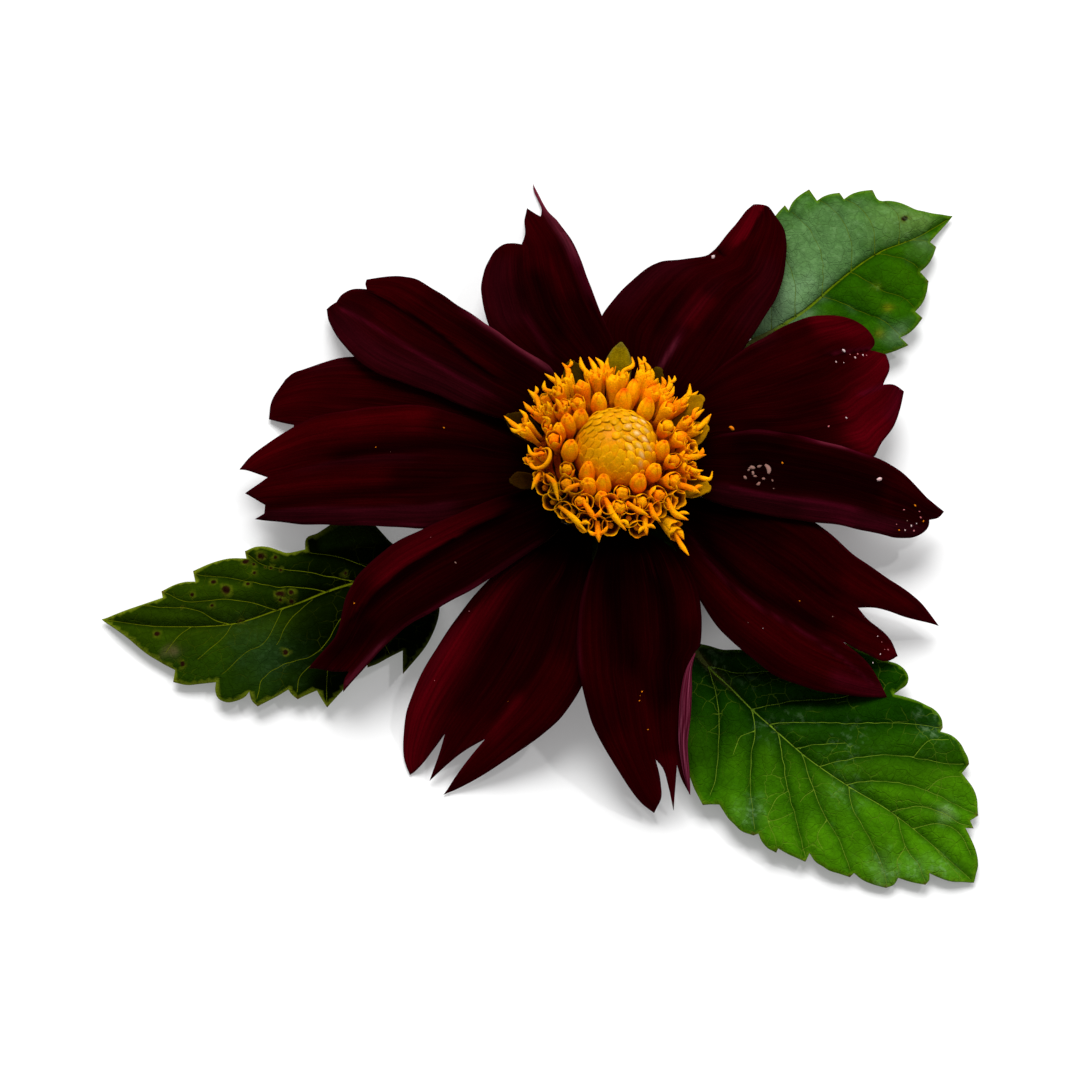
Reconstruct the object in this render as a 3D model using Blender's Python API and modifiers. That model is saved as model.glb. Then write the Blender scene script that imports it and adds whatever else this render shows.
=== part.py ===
"""Dahlia flower of the open-centred kind, cut with a short stem and three leaves.

The flower lies face up on its leaves, the cut end of its stem and the tips of
its lowest ray florets.  Units are metres, +Z is up.  The design below is in
millimetres, measured from the flower's axis, which is vertical; every finished
piece is then moved so that the middle of the whole object's box is the origin.
"""
import math

import bmesh
import bpy
import numpy as np
from mathutils import Matrix, Vector
from mathutils.geometry import delaunay_2d_cdt

# ----------------------------------------------------------------------------
# driving dimensions, millimetres
# ----------------------------------------------------------------------------
MM = 0.001
AXIS_AT = (9.02, 1.85)        # the flower's axis in the part's own frame
GAP = 0.3                      # clearance between neighbouring pieces

RECEPTACLE_R = 8.8
RAY_FOOT = 9.15                # radius where the ray florets start
RAY_FOOT_HALF = 1.6            # half width of a ray floret at its foot
RAY_Z = 13.0                   # height of the middle whorl of ray florets
RAY_LAYER = 1.1                # height between whorls
RAY_ARCH = 0.6                 # rise from the foot to the crest of a ray floret
RAY_CREST = 14.5               # distance of that crest from the axis
RAY_DROOP = 1.6                # exponent of the droop beyond the crest
RAY_FALL = 2.5                 # exponent of the fall of its margins across the floret
RAY_THICK = 0.45
LEAF_THICK = 0.40
REST = 0.015                   # clearance kept under a piece that lies on the ground

STEM_R = 1.8
PETIOLE_R = 0.85

DOME_R = 5.3
DOME_TOP = 21.4
# whorls of disc florets: number, foot radius, foot height, tip radius, tip height
FLORET_RINGS = (
    (15, 5.9, 15.80, 7.6, 20.2),
    (18, 6.9, 15.65, 9.5, 19.9),
    (21, 7.8, 15.40, 11.4, 19.2),
    (24, 8.7, 15.10, 13.3, 18.1),
)
FLORET_FOOT_R = 0.30
FLORET_TIP_R = 0.80

# Ray florets.  az: direction of the axis of the floret; whorl: -1, 0 or 1;
# tip_z: height of its middle at reach; fall: how far the (left, right) margins
# hang below the middle.  left, teeth and right are outline points (along,
# across) measured from the flower's axis along az, left being
# counter-clockwise: left and right run outwards from the foot, teeth runs from
# the end of the left margin to the end of the right one.
RAYS = {
    1: dict(az=103, whorl=0, reach=46, tip_z=1.2, fall=(0.8, -0.8),
            left=((15.5, 3.5), (20, 7), (27, 10), (32.5, 9.6), (37, 8.2), (39.4, 6.9)),
            teeth=((41.2, 5.5), (41.8, 4.3), (41.5, 3.1), (40.8, 2.1), (42.8, 1.2), (46.5, 0.4), (48.5, -0.4), (47.5, -1.1),
                   (46, -1.7), (48.5, -2)),
            right=((14, -4), (22, -4.5), (29.5, -4.5), (35.5, -4.5), (40.5, -4), (45, -3.2), (51, -2.4))),
    2: dict(az=64, whorl=-1, reach=49, tip_z=5.0, fall=(1.0, 1.0),
            left=((15.5, 6.5), (22, 11), (29, 10), (34, 8), (36, 5.5), (38.5, 2.8), (43, 2.2), (48.5, 1.8)),
            teeth=((50.1, 1.3), (50.4, 0.3)),
            right=((17, -4.5), (21, -7.5), (26.5, -8.2), (35, -8.4), (38.5, -8), (43, -6.7), (48, -4.4), (51, -1))),
    3: dict(az=26, whorl=0, reach=42, tip_z=6.0, fall=(0.8, 1.2),
            left=((17, 6), (22, 8), (28, 9.7), (36, 11.2), (39, 10.9)),
            teeth=((42, 9.2), (43.3, 6.5), (43, 4.6), (41.8, 3.7), (43.7, 2.6), (43.3, 0.9), (40.8, -1.8),
                   (42.4, -2.1)),
            right=((14, -2.6), (20, -6), (26.5, -10.5), (33.5, -11.7), (36, -10), (39, -8), (41.5, -5.5), (43.5, -3))),
    4: dict(az=356, whorl=1, reach=44, tip_z=5.5, fall=(0.4, 1.5),
            left=((13.5, 5), (17, 6.2), (20, 7), (25.5, 7), (35, 6.4), (38.5, 5.6), (42.5, 2.5)),
            teeth=((45, 1), (44.3, -0.1), (43, -0.9), (43, -1.5)),
            right=((11, -3), (14, -4.3), (17, -4.8), (24.5, -4.8), (32.5, -4.2), (38, -4.1), (40.5, -3.6))),
    5: dict(az=328, whorl=-1, reach=44, tip_z=4.5, fall=(0.9, 1.0),
            left=((12.5, 3.5), (19, 7.5), (27, 9.4), (33.5, 8.8), (42.5, 9.3), (46.5, 8.2)),
            teeth=((42.5, 6), (38.3, 4), (37, 2.8), (38.5, 2.4), (42.8, 1.9), (44.4, 0.8), (43.8, -0.5),
                   (40.6, -1.8), (37.7, -2.3), (42.4, -2.8)),
            right=((11.5, -3.5), (16.5, -7), (20, -9), (25, -11), (32, -11.6), (38, -9.8), (41.5, -7.8), (46, -4.5))),
    6: dict(az=280, whorl=1, reach=44, tip_z=3.5, fall=(-0.3, 1.2),
            left=((10.5, 3.5), (12, 5), (15, 7), (20.5, 8.4), (26.5, 7.5), (28, 6), (32, 5.2), (38, 3.4), (43.3, 3)),
            teeth=((41.2, 2.2), (40, 2), (44.9, 0.7), (42, 0.5), (40, 0.1), (39, -0.6), (41.5, -0.4), (43.4, -0.7)),
            right=((12, -3.4), (15, -5.2), (19, -7), (26.5, -8.5), (32.5, -8), (38, -6), (43, -3.2), (44.4, -1.7))),
    7: dict(az=242, whorl=-1, reach=44, tip_z=1.5, fall=(0.8, 1.5),
            left=((19.5, 8), (27.5, 10.8), (31.5, 10.2), (37.5, 7), (43, 3), (46, 0.4)),
            teeth=((42, 1.2), (38.2, 2.4), (41, 0.2), (45.3, -2), (41.5, -2.4), (39.7, -2.7), (42, -3.3), (44.3, -4)),
            right=((14.5, -3.6), (20, -6.6), (27.5, -8.4), (35, -9.2), (38.5, -8.9), (41.5, -7.9), (44, -6.5), (45.6, -4.8))),
    8: dict(az=215, whorl=1, reach=45, tip_z=6.0, fall=(0.6, 1.2),
            left=((10.5, 4), (14, 4.6), (22, 4.3), (29.5, 3.2), (34.5, 2.5), (39.5, 3), (44.5, 3.8)),
            teeth=((43.5, 2.7), (42.5, 2.3), (44, 1)),
            right=((11.5, -3.3), (17, -5), (25, -7.2), (29.5, -8), (34, -7.7), (36.5, -6.7), (41.5, -2.9), (46, -2.2))),
    9: dict(az=179, whorl=0, reach=47, tip_z=5.0, fall=(1.5, 0.6),
            left=((16.5, 6.5), (23.5, 8), (30, 7), (40, 5.3), (46.6, 3.4)),
            teeth=((45.3, 3), (45.2, 2), (48, 0.1), (45, -1.8), (47, -2.9)),
            right=((14, -5), (20, -8.2), (25, -9.9), (31.5, -10.3), (38.5, -10.1), (43.5, -8.2), (47.5, -5.7), (49, -4))),
    10: dict(az=158, whorl=-1, reach=47, tip_z=0.6, fall=(1.0, 1.0),
             left=((12, 2), (19, 4.5), (26.5, 7.5), (33, 9), (39, 9.5), (43.5, 8.7)),
             teeth=((45, 7.5), (43, 6), (43.4, 4.4), (47.4, 4)),
             right=((12, -4.8), (19, -5.9), (26.5, -7.3), (33, -8.1), (39.5, -7.7), (43.5, -6.5), (46.2, -4.8), (48, -2),
                    (48.2, 1.5))),
    11: dict(az=136, whorl=1, reach=48, tip_z=3.0, fall=(1.3, 0.6),
             left=((11, 2.4), (14.5, 4.5), (18, 5.7), (25, 7.2), (35, 9.2), (39, 8.6), (46.3, 6), (48.6, 4.3)),
             teeth=((47.7, 3.2), (48, 2.1), (47.6, 0.7), (45.6, -0.6), (46.5, -1.2)),
             right=((12.5, -4.3), (16, -5.4), (21, -5.1), (32, -5.4), (40.5, -5.8), (43.4, -5.2), (47.3, -2.2))),
}

# Leaves.  base: where the blade starts; az: direction of its tip; length; rise:
# height of the midrib at the base and at the middle; midrib: points of it;
# left and right: the marginal teeth from the base to the tip, each with the
# depth of the notch in front of it; a depth of 0 is a plain point of the margin.
LEAVES = {
    "leaf_left": dict(
        base=(-23.3, -10.8), az=186.8, length=43.7, rise=(2.2, 1.9),
        midrib=((0, -1.8), (11, -0.5), (19.5, 1.8), (27, 3.2), (35, 2.3), (43.7, 0)),
        left=((5, 13.4, 3.6), (8.5, 11.6, 0), (9.5, 11.8, 0.8), (13, 14.6, 0), (15.2, 16.9, 2.7), (19, 15, 1.4),
              (24.2, 15.2, 2), (29.3, 13.7, 2), (34.9, 10.3, 1.6)),
        right=((4.5, -5.8, 0), (6.4, -8.8, 0), (10, -10.8, 1), (13, -9.6, 0), (15.2, -8.2, 0), (16.5, -6.1, 0),
               (20, -6.3, 0), (22.3, -7.5, 0), (24.2, -7.4, 1.1), (31.1, -5.2, 1.7), (35.5, -2.7, 1))),
    "leaf_lower_right": dict(
        base=(11.6, -20.4), az=317.8, length=47.7, rise=(2.4, 2.0),
        midrib=((0, -0.3), (8.4, -0.8), (15.4, -1.1), (23.3, -1.2), (30.4, -0.4), (39.3, 0.5), (47.7, 0)),
        left=((3.5, 1.8, 0), (5.2, 3.4, 0), (10, 10, 0), (14, 13, 0), (18.1, 14.9, 0.9), (23.8, 15, 2.4), (31.3, 13.4, 1.8), (37.4, 11.3, 1.6), (42.2, 7.4, 1.6), (43.1, 5.3, 0.6)),
        right=((15.8, -15.8, 1.8), (22.4, -15.4, 0.9), (26.6, -14.9, 0.5), (30.2, -13.2, 1.6), (35.8, -10.9, 0.8),
               (40.4, -8.6, 1.8), (43.7, -5, 1.5))),
    "leaf_upper_right": dict(
        base=(20.2, 25.2), az=35.9, length=35.1, rise=(2.4, 2.1),
        midrib=((0, -0.4), (7.7, -0.6), (14, 0.3), (22.5, 1), (29.7, 0), (35.1, 0)),
        left=((7.6, 10.5, 1), (12.3, 12.9, 1), (16.5, 14.2, 1), (20.9, 14.4, 2), (24, 11.7, 1.3), (28.2, 9.4, 2)),
        right=((4.4, -8.3, 1.2), (10.8, -12.2, 1.4), (16.8, -13.1, 1.7), (21.1, -10.8, 1.5), (25.6, -6.5, 1.8),
               (29.8, -2.9, 1.3))),
}
# height at which each leaf stalk leaves the stem
PETIOLE_Z = {"leaf_left": 5.4, "leaf_upper_right": 5.4, "leaf_lower_right": 3.0}

# Scales of the receptacle between the outer disc florets: direction and reach
PALEAE = ((83, 16.2), (109, 14.6), (61, 14.6), (33, 15.2), (17, 14.0), (339, 14.4), (196, 13.2), (157, 14.4))

COLOURS = {
    "petal": ((0.030, 0.0012, 0.0030, 1), 0.55),
    "stem": ((0.10, 0.17, 0.03, 1), 0.5),
    "bract": ((0.22, 0.20, 0.07, 1), 0.5),
    "sepal": ((0.06, 0.12, 0.02, 1), 0.5),
    "leaf": ((0.04, 0.11, 0.008, 1), 0.45),
    "disc": ((0.70, 0.30, 0.006, 1), 0.5),
    "floret": ((0.65, 0.25, 0.006, 1), 0.55),
    "palea": ((0.33, 0.21, 0.01, 1), 0.5),
}


# ----------------------------------------------------------------------------
# small tools
# ----------------------------------------------------------------------------
def clear_scene():
    for ob in list(bpy.data.objects):
        bpy.data.objects.remove(ob, do_unlink=True)


def collection(name):
    col = bpy.data.collections.new(name)
    bpy.context.scene.collection.children.link(col)
    return col


def material(name):
    mat = bpy.data.materials.get(name)
    if mat:
        return mat
    colour, rough = COLOURS[name.split(".")[0]]
    mat = bpy.data.materials.new(name)
    mat.use_nodes = True
    bsdf = mat.node_tree.nodes["Principled BSDF"]
    bsdf.inputs["Base Color"].default_value = colour
    bsdf.inputs["Roughness"].default_value = rough
    bsdf.inputs["Metallic"].default_value = 0.0
    mat.diffuse_color = colour
    return mat


def to_part(p):
    """Design point in millimetres from the flower's axis, to metres in the part."""
    return Vector(((p[0] + AXIS_AT[0]) * MM, (p[1] + AXIS_AT[1]) * MM, p[2] * MM))


def smooth(x):
    x = min(max(x, 0.0), 1.0)
    return x * x * (3.0 - 2.0 * x)


def soft_floor(z, least, blend=0.8):
    """z, eased so that it never falls below least."""
    d = (z - least) / blend
    if d > 6.0:
        return z
    return least + blend * math.log1p(math.exp(3.0 * d)) / 3.0


class Curve1D:
    """Monotone cubic through points (x, y): no overshoot between them."""

    def __init__(self, pts):
        self.x = np.array([p[0] for p in pts], float)
        self.y = np.array([p[1] for p in pts], float)
        h, dlt = np.diff(self.x), np.diff(self.y) / np.diff(self.x)
        m = np.zeros_like(self.x)
        m[0], m[-1] = dlt[0], dlt[-1]
        for i in range(1, len(m) - 1):
            if dlt[i - 1] * dlt[i] > 0:
                w1, w2 = 2 * h[i] + h[i - 1], h[i] + 2 * h[i - 1]
                m[i] = (w1 + w2) / (w1 / dlt[i - 1] + w2 / dlt[i])
        self.h, self.m = h, m

    def __call__(self, x):
        i = int(np.clip(np.searchsorted(self.x, x) - 1, 0, len(self.h) - 1))
        h = self.h[i]
        t = (x - self.x[i]) / h
        return float((2 * t**3 - 3 * t**2 + 1) * self.y[i] + (t**3 - 2 * t**2 + t) * h * self.m[i]
                     + (3 * t**2 - 2 * t**3) * self.y[i + 1] + (t**3 - t**2) * h * self.m[i + 1])


def inside(p, loop):
    """Whether p lies inside the closed outline loop."""
    x, y = p
    odd = False
    for (x1, y1), (x2, y2) in zip(loop, loop[1:] + loop[:1]):
        if (y1 > y) != (y2 > y) and x < (x2 - x1) * (y - y1) / (y2 - y1) + x1:
            odd = not odd
    return odd


def clearance(p, loop):
    """Distance from p to the closed outline loop."""
    best = 1e9
    for (x1, y1), (x2, y2) in zip(loop, loop[1:] + loop[:1]):
        dx, dy = x2 - x1, y2 - y1
        f = min(max(((p[0] - x1) * dx + (p[1] - y1) * dy) / (dx * dx + dy * dy + 1e-12), 0.0), 1.0)
        best = min(best, math.hypot(p[0] - x1 - f * dx, p[1] - y1 - f * dy))
    return best


def sheet(name, loop, inner, place, thickness, mat, col, margin=0.8):
    """A blade of the given thickness: the flat outline loop with inner points, meshed and moved by place(u, v)."""
    inner = [p for p in inner if inside(p, loop) and clearance(p, loop) > margin]
    flat = [Vector(p) for p in loop] + [Vector(p) for p in inner]
    n = len(loop)
    ring = [(i, (i + 1) % n) for i in range(n)]
    points, _, faces, _, _, _ = delaunay_2d_cdt(flat, ring, [], 1, 1e-6)
    mesh = bpy.data.meshes.new(name)
    mesh.from_pydata([to_part(place(p.x, p.y)) for p in points], [], [list(f) for f in faces])
    bm = bmesh.new()
    bm.from_mesh(mesh)
    if sum((f.normal.z * f.calc_area() for f in bm.faces), 0.0) < 0:
        bmesh.ops.reverse_faces(bm, faces=bm.faces[:])
    bm.to_mesh(mesh)
    bm.free()
    mesh.shade_smooth()
    ob = bpy.data.objects.new(name, mesh)
    col.objects.link(ob)
    mesh.materials.append(material(mat))
    solid = ob.modifiers.new("thickness", "SOLIDIFY")
    solid.thickness = thickness * MM
    solid.offset = 0.0
    return ob


def steps(a, b, widest):
    """Even steps from a up to, and not including, b."""
    n = max(1, math.ceil(abs(b - a) / widest - 1e-6))
    return [a + (b - a) * k / n for k in range(n)]


def tube(name, points, radii, mat, col, resolution=2):
    """A round bar along points, its radius varying from point to point."""
    cu = bpy.data.curves.new(name, "CURVE")
    cu.dimensions = "3D"
    cu.bevel_depth = MM
    cu.bevel_resolution = resolution
    cu.use_fill_caps = True
    sp = cu.splines.new("POLY")
    sp.points.add(len(points) - 1)
    for q, p, r in zip(sp.points, points, radii):
        q.co = (*to_part(p), 1.0)
        q.radius = r
    ob = bpy.data.objects.new(name, cu)
    col.objects.link(ob)
    cu.materials.append(material(mat))
    return ob


def as_mesh(ob, col):
    """The curve object ob as a welded mesh object, which takes its place."""
    dg = bpy.context.evaluated_depsgraph_get()
    mesh = bpy.data.meshes.new_from_object(ob.evaluated_get(dg))
    bm = bmesh.new()
    bm.from_mesh(mesh)
    bmesh.ops.remove_doubles(bm, verts=bm.verts[:], dist=1e-6)
    bm.to_mesh(mesh)
    bm.free()
    name = ob.name
    new = bpy.data.objects.new(name + "_mesh", mesh)
    new.matrix_world = ob.matrix_world
    col.objects.link(new)
    bpy.data.objects.remove(ob, do_unlink=True)
    new.name = name
    return new


def hidden(ob):
    ob.hide_render = True
    ob.display_type = "WIRE"
    return ob


def turned(name, profile, mat, col, steps):
    """A solid turned about the flower's axis; profile runs (radius, height) from the top down."""
    mesh = bpy.data.meshes.new(name)
    bm = bmesh.new()
    row = [bm.verts.new((r * MM, 0.0, z * MM)) for r, z in profile]
    for a, b in zip(row, row[1:]):
        bm.edges.new((a, b))
    bm.to_mesh(mesh)
    bm.free()
    ob = bpy.data.objects.new(name, mesh)
    ob.location = to_part((0, 0, 0))
    col.objects.link(ob)
    mesh.materials.append(material(mat))
    sc = ob.modifiers.new("turn", "SCREW")
    sc.steps = steps
    sc.render_steps = steps
    sc.use_merge_vertices = True
    sc.merge_threshold = 0.00001
    sc.use_smooth_shade = True
    return ob


# ----------------------------------------------------------------------------
# ray florets
# ----------------------------------------------------------------------------
class Ray:
    """Shape of one ray floret in its own axes: u outwards from the flower's axis, v to the left."""

    def __init__(self, spec):
        self.spec = spec
        self.left = Curve1D(((RAY_FOOT, RAY_FOOT_HALF),) + spec["left"])
        self.right = Curve1D(((RAY_FOOT, -RAY_FOOT_HALF),) + spec["right"])
        self.l_end, self.r_end = spec["left"][-1], spec["right"][-1]
        self.z_foot = RAY_Z + RAY_LAYER * spec["whorl"]
        self.ca, self.sa = math.cos(math.radians(spec["az"])), math.sin(math.radians(spec["az"]))

    def across(self, u, v):
        """-1 at the right margin, 1 at the left."""
        a = self.left(min(u, self.l_end[0]))
        b = self.right(min(u, self.r_end[0]))
        return min(max((2 * v - a - b) / (a - b), -1.0), 1.0)

    def height(self, u, v):
        spec, zf = self.spec, self.z_foot
        z = zf + RAY_ARCH * min(max((u - RAY_FOOT) / (RAY_CREST - RAY_FOOT), 0.0), 1.0)
        q = max((u - RAY_CREST) / (spec["reach"] - RAY_CREST), 0.0)
        z -= (zf + RAY_ARCH - spec["tip_z"]) * q**RAY_DROOP
        t = self.across(u, v)
        z -= (spec["fall"][0] if t > 0 else spec["fall"][1]) * abs(t)**RAY_FALL * smooth((u - 11.0) / 11.0)
        return soft_floor(z, RAY_THICK / 2 + REST)

    def place(self, u, v):
        return (u * self.ca - v * self.sa, u * self.sa + v * self.ca, self.height(u, v))

    def loop(self, step):
        """The outline, anticlockwise from the right of the foot."""
        right = [(u, self.right(u)) for u in steps(RAY_FOOT, self.r_end[0], step)] + [self.r_end]
        left = [(u, self.left(u)) for u in steps(RAY_FOOT, self.l_end[0], step)] + [self.l_end]
        return right + list(self.spec["teeth"])[::-1] + left[::-1]


def build_rays(col):
    for k, spec in RAYS.items():
        ray = Ray(spec)
        inner = []
        for u in steps(RAY_FOOT + 3.0, 52.0, 4.0):
            a, b = ray.left(min(u, ray.l_end[0])), ray.right(min(u, ray.r_end[0]))
            for t in (-0.7, -0.35, 0.0, 0.35, 0.7):
                inner.append((u, 0.5 * (a + b) + 0.5 * t * (a - b)))
        sheet("ray_floret_%02d" % k, ray.loop(3.6), inner, ray.place, RAY_THICK, "petal.%02d" % k, col)


# ----------------------------------------------------------------------------
# leaves
# ----------------------------------------------------------------------------
class Leaf:
    """Shape of one leaf in its own axes: x from the base of the blade to its tip, y to the left."""

    def __init__(self, spec):
        self.spec = spec
        self.mid = Curve1D(spec["midrib"])
        self.ca, self.sa = math.cos(math.radians(spec["az"])), math.sin(math.radians(spec["az"]))

    def margin(self, side):
        """The toothed margin of one side from the base to the tip: each tooth points forward over its notch."""
        sign = 1.0 if side == "left" else -1.0
        at = (0.0, self.mid(0.0) + sign * 0.8)
        pts = [at]
        tip = (self.spec["length"], self.mid(self.spec["length"]), 0.0)
        for i, (x, y, bite) in enumerate(self.spec[side] + (tip,)):
            run = math.hypot(x - at[0], y - at[1])
            nx, ny = -(y - at[1]) / run * sign, (x - at[0]) / run * sign
            belly = (0.09 if i else 0.18) * run if bite else 0.0
            for f in (0.3, 0.65, 0.88) if run > 3.0 and bite else (0.5,) if run > 2.0 else ():
                lift = belly * math.sin(math.pi * f**0.85)
                pts.append((at[0] + (x - at[0]) * f + nx * lift, at[1] + (y - at[1]) * f + ny * lift))
            if i == len(self.spec[side]):
                break
            pts.append((x, y))
            at = (x, y)
            if bite:
                at = (x + 0.3 * bite, y - sign * 0.95 * bite)
                pts.append(at)
        return pts

    def loop(self):
        right, left = self.margin("right"), self.margin("left")
        return right + [(self.spec["length"], self.mid(self.spec["length"]))] + left[::-1]

    def height(self, x, y):
        z_base, z_mid = self.spec["rise"]
        f = x / self.spec["length"]
        z = z_base + (z_mid - z_base) * smooth(f / 0.5) - (z_mid - 0.5) * smooth((f - 0.4) / 0.6)
        away = abs(y - self.mid(min(max(x, 0.0), self.spec["length"])))
        z += 0.55 * math.sin(min(away / 7.0, 1.0) * math.pi) - 0.095 * max(away - 5.0, 0.0)
        return soft_floor(z, LEAF_THICK / 2 + REST)

    def place(self, x, y):
        bx, by = self.spec["base"]
        return (bx + x * self.ca - y * self.sa, by + x * self.sa + y * self.ca, self.height(x, y))


def build_leaves(col, guides):
    for name, spec in LEAVES.items():
        leaf = Leaf(spec)
        inner = []
        for x in steps(1.5, spec["length"] - 1.0, 4.5):
            for dy in (-12, -8, -4.5, -1.8, 0, 1.8, 4.5, 8, 12):
                inner.append((x + 0.35 * abs(dy), leaf.mid(x) + dy))
        blade = sheet(name, leaf.loop(), inner, leaf.place, LEAF_THICK, "leaf." + name, col, margin=1.0)
        foot = Vector(leaf.place(0.3, leaf.mid(0.3)))
        inner_end = Vector(leaf.place(3.2, leaf.mid(3.2))) - Vector((0, 0, 0.25))
        foot.z -= 0.1
        head = math.atan2(foot.y, foot.x)
        z0 = PETIOLE_Z[name]
        start = Vector((math.cos(head) * 3.0, math.sin(head) * 3.0, z0))
        side = Vector((-math.sin(head), math.cos(head), 0))
        pts, radii = [], []
        n = 8
        for i in range(n + 1):
            f = i / n
            p = start.lerp(foot, f) + side * (1.2 * math.sin(math.pi * f))
            p.z = z0 + (foot.z - z0) * smooth(f * 0.9 + 0.05) + 0.2 * math.sin(math.pi * f)
            pts.append(p)
            radii.append(PETIOLE_R * (1.25 - 0.45 * smooth(f * 1.6)))
        pts.append(inner_end)
        radii.append(PETIOLE_R * 0.5)
        stalk = hidden(as_mesh(tube(name + "_stalk", pts, radii, "leaf." + name, guides), guides))
        join = blade.modifiers.new("stalk", "BOOLEAN")
        join.operation = "UNION"
        join.solver = "EXACT"
        join.object = stalk


# ----------------------------------------------------------------------------
# the scales under and in the head
# ----------------------------------------------------------------------------
def scale(name, az, foot_r, reach, half, heights, cup, thickness, mat, col):
    """A lance-shaped scale pointing outwards; heights are its heights at the foot, middle and tip."""
    ca, sa = math.cos(math.radians(az)), math.sin(math.radians(az))
    profile = Curve1D(((foot_r, heights[0]), (0.5 * (foot_r + reach), heights[1]), (reach, heights[2])))
    shape = Curve1D(((0.0, 0.55), (0.35, 0.95), (0.6, 1.0), (0.85, 0.62), (1.0, 0.12)))
    side = [(foot_r + (reach - foot_r) * s, half * shape(s)) for s in (0.0, 0.2, 0.45, 0.7, 0.88, 1.0)]
    loop = [(u, -v) for u, v in side] + side[::-1]
    inner = [(u, 0.0) for u, _ in side[1:5]]

    def place(u, v):
        z = profile(u) + cup * v * v
        return (u * ca - v * sa, u * sa + v * ca, z)

    sheet(name, loop, inner, place, thickness, mat, col, margin=0.3)


def build_scales(col):
    for i in range(8):
        scale("inner_bract_%d" % (i + 1), 12 + 45 * i, 9.2, 18.5, 3.2, (10.9, 10.6, 9.8), 0.0, 0.30, "bract.%d" % i, col)
    for i in range(5):
        scale("outer_bract_%d" % (i + 1), 30 + 72 * i, 4.6, 16.0, 3.0, (8.2, 8.3, 5.8), -0.03, 0.50,
              "sepal.%d" % i, col)
    for i, (az, reach) in enumerate(PALEAE):
        rise = 0.45 * (reach - 9.3)
        scale("palea_%d" % (i + 1), az, 9.3, reach, 1.5, (14.75, 14.7 + 0.5 * rise, 14.75 + rise), 0.03, 0.22,
              "palea.%d" % i, col)


# ----------------------------------------------------------------------------
# stem, receptacle and disc
# ----------------------------------------------------------------------------
def build_stem(col):
    pts = [(0.6, -0.4, 0.0), (0.6, -0.4, 1.6), (0.58, -0.38, 2.4), (0.5, -0.33, 3.3), (0.4, -0.26, 4.3),
           (0.28, -0.18, 5.2), (0.16, -0.1, 6.0), (0.06, -0.03, 7.0), (0.0, 0.0, 8.15)]
    radii = [STEM_R, STEM_R, STEM_R * 1.08, STEM_R * 1.1, STEM_R * 1.02, STEM_R * 1.12, STEM_R * 1.05,
             STEM_R * 0.98, STEM_R * 1.02]
    tube("stem", pts, radii, "stem", col, resolution=3)


def build_head(col):
    r = RECEPTACLE_R
    turned("receptacle",
           [(0, 15.2), (5.2, 15.05), (7.4, 14.7), (8.5, 14.3), (r, 13.8), (r, 11.6), (r - 0.4, 10.6), (r - 1.8, 9.7),
            (5.0, 9.15), (3.0, 8.75), (1.9, 8.45), (0, 8.45)], "stem", col, 28)
    t, d = DOME_TOP, DOME_R
    turned("disc_bud_dome",
           [(0, t), (1.3, t - 0.12), (2.6, t - 0.5), (3.8, t - 1.2), (4.7, t - 2.2), (d, t - 3.4), (d - 0.05, t - 4.4),
            (d - 0.4, 15.9), (d - 0.9, 15.55), (0, 15.55)], "disc", col, 24)


def build_floret_rings(col, guides):
    for k, (n, rf, zf, rt, zt) in enumerate(FLORET_RINGS, 1):
        bpy.ops.mesh.primitive_torus_add(major_radius=rf * MM, minor_radius=0.32 * MM, major_segments=2 * n,
                                         minor_segments=6, location=to_part((0, 0, zf)))
        ring = bpy.context.object
        ring.name = "disc_florets_ring_%d" % k
        for c in list(ring.users_collection):
            c.objects.unlink(ring)
        col.objects.link(ring)
        ring.data.shade_smooth()
        ring.data.materials.append(material("floret.%d" % k))
        bm = bmesh.new()
        lean = math.atan2(rt - rf, zt - zf)
        length = math.hypot(rt - rf, zt - zf)
        for i in range(n):
            az = 2 * math.pi * (i + 0.5 * (k % 2)) / n
            mat = (Matrix.Translation(to_part((0, 0, zf))) @ Matrix.Rotation(az, 4, "Z")
                   @ Matrix.Translation((rf * MM, 0, 0)) @ Matrix.Rotation(lean, 4, "Y")
                   @ Matrix.Translation((0, 0, length * MM / 2)))
            bmesh.ops.create_cone(bm, cap_ends=True, segments=6, radius1=FLORET_FOOT_R * MM,
                                  radius2=FLORET_TIP_R * MM, depth=length * MM, matrix=mat)
        mesh = bpy.data.meshes.new("florets_%d" % k)
        bm.to_mesh(mesh)
        bm.free()
        florets = hidden(bpy.data.objects.new("florets_%d" % k, mesh))
        guides.objects.link(florets)
        join = ring.modifiers.new("florets", "BOOLEAN")
        join.operation = "UNION"
        join.solver = "EXACT"
        join.object = florets


def main():
    clear_scene()
    parts = collection("dahlia_flower")
    guides = collection("guides")
    build_stem(parts)
    build_head(parts)
    build_floret_rings(parts, guides)
    build_scales(parts)
    build_rays(parts)
    build_leaves(parts, guides)


main()
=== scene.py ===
"""Looks of the dahlia flower: eleven ray florets, the disc, three leaves, bracts and stem.

Lengths in the tables are millimetres measured from the flower's axis, as in the
part's design; a finished piece is moved by AXIS_AT into the frame of the part.
"""

import math

import bpy
import numpy as np
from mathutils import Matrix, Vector
from mathutils.geometry import delaunay_2d_cdt


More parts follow.
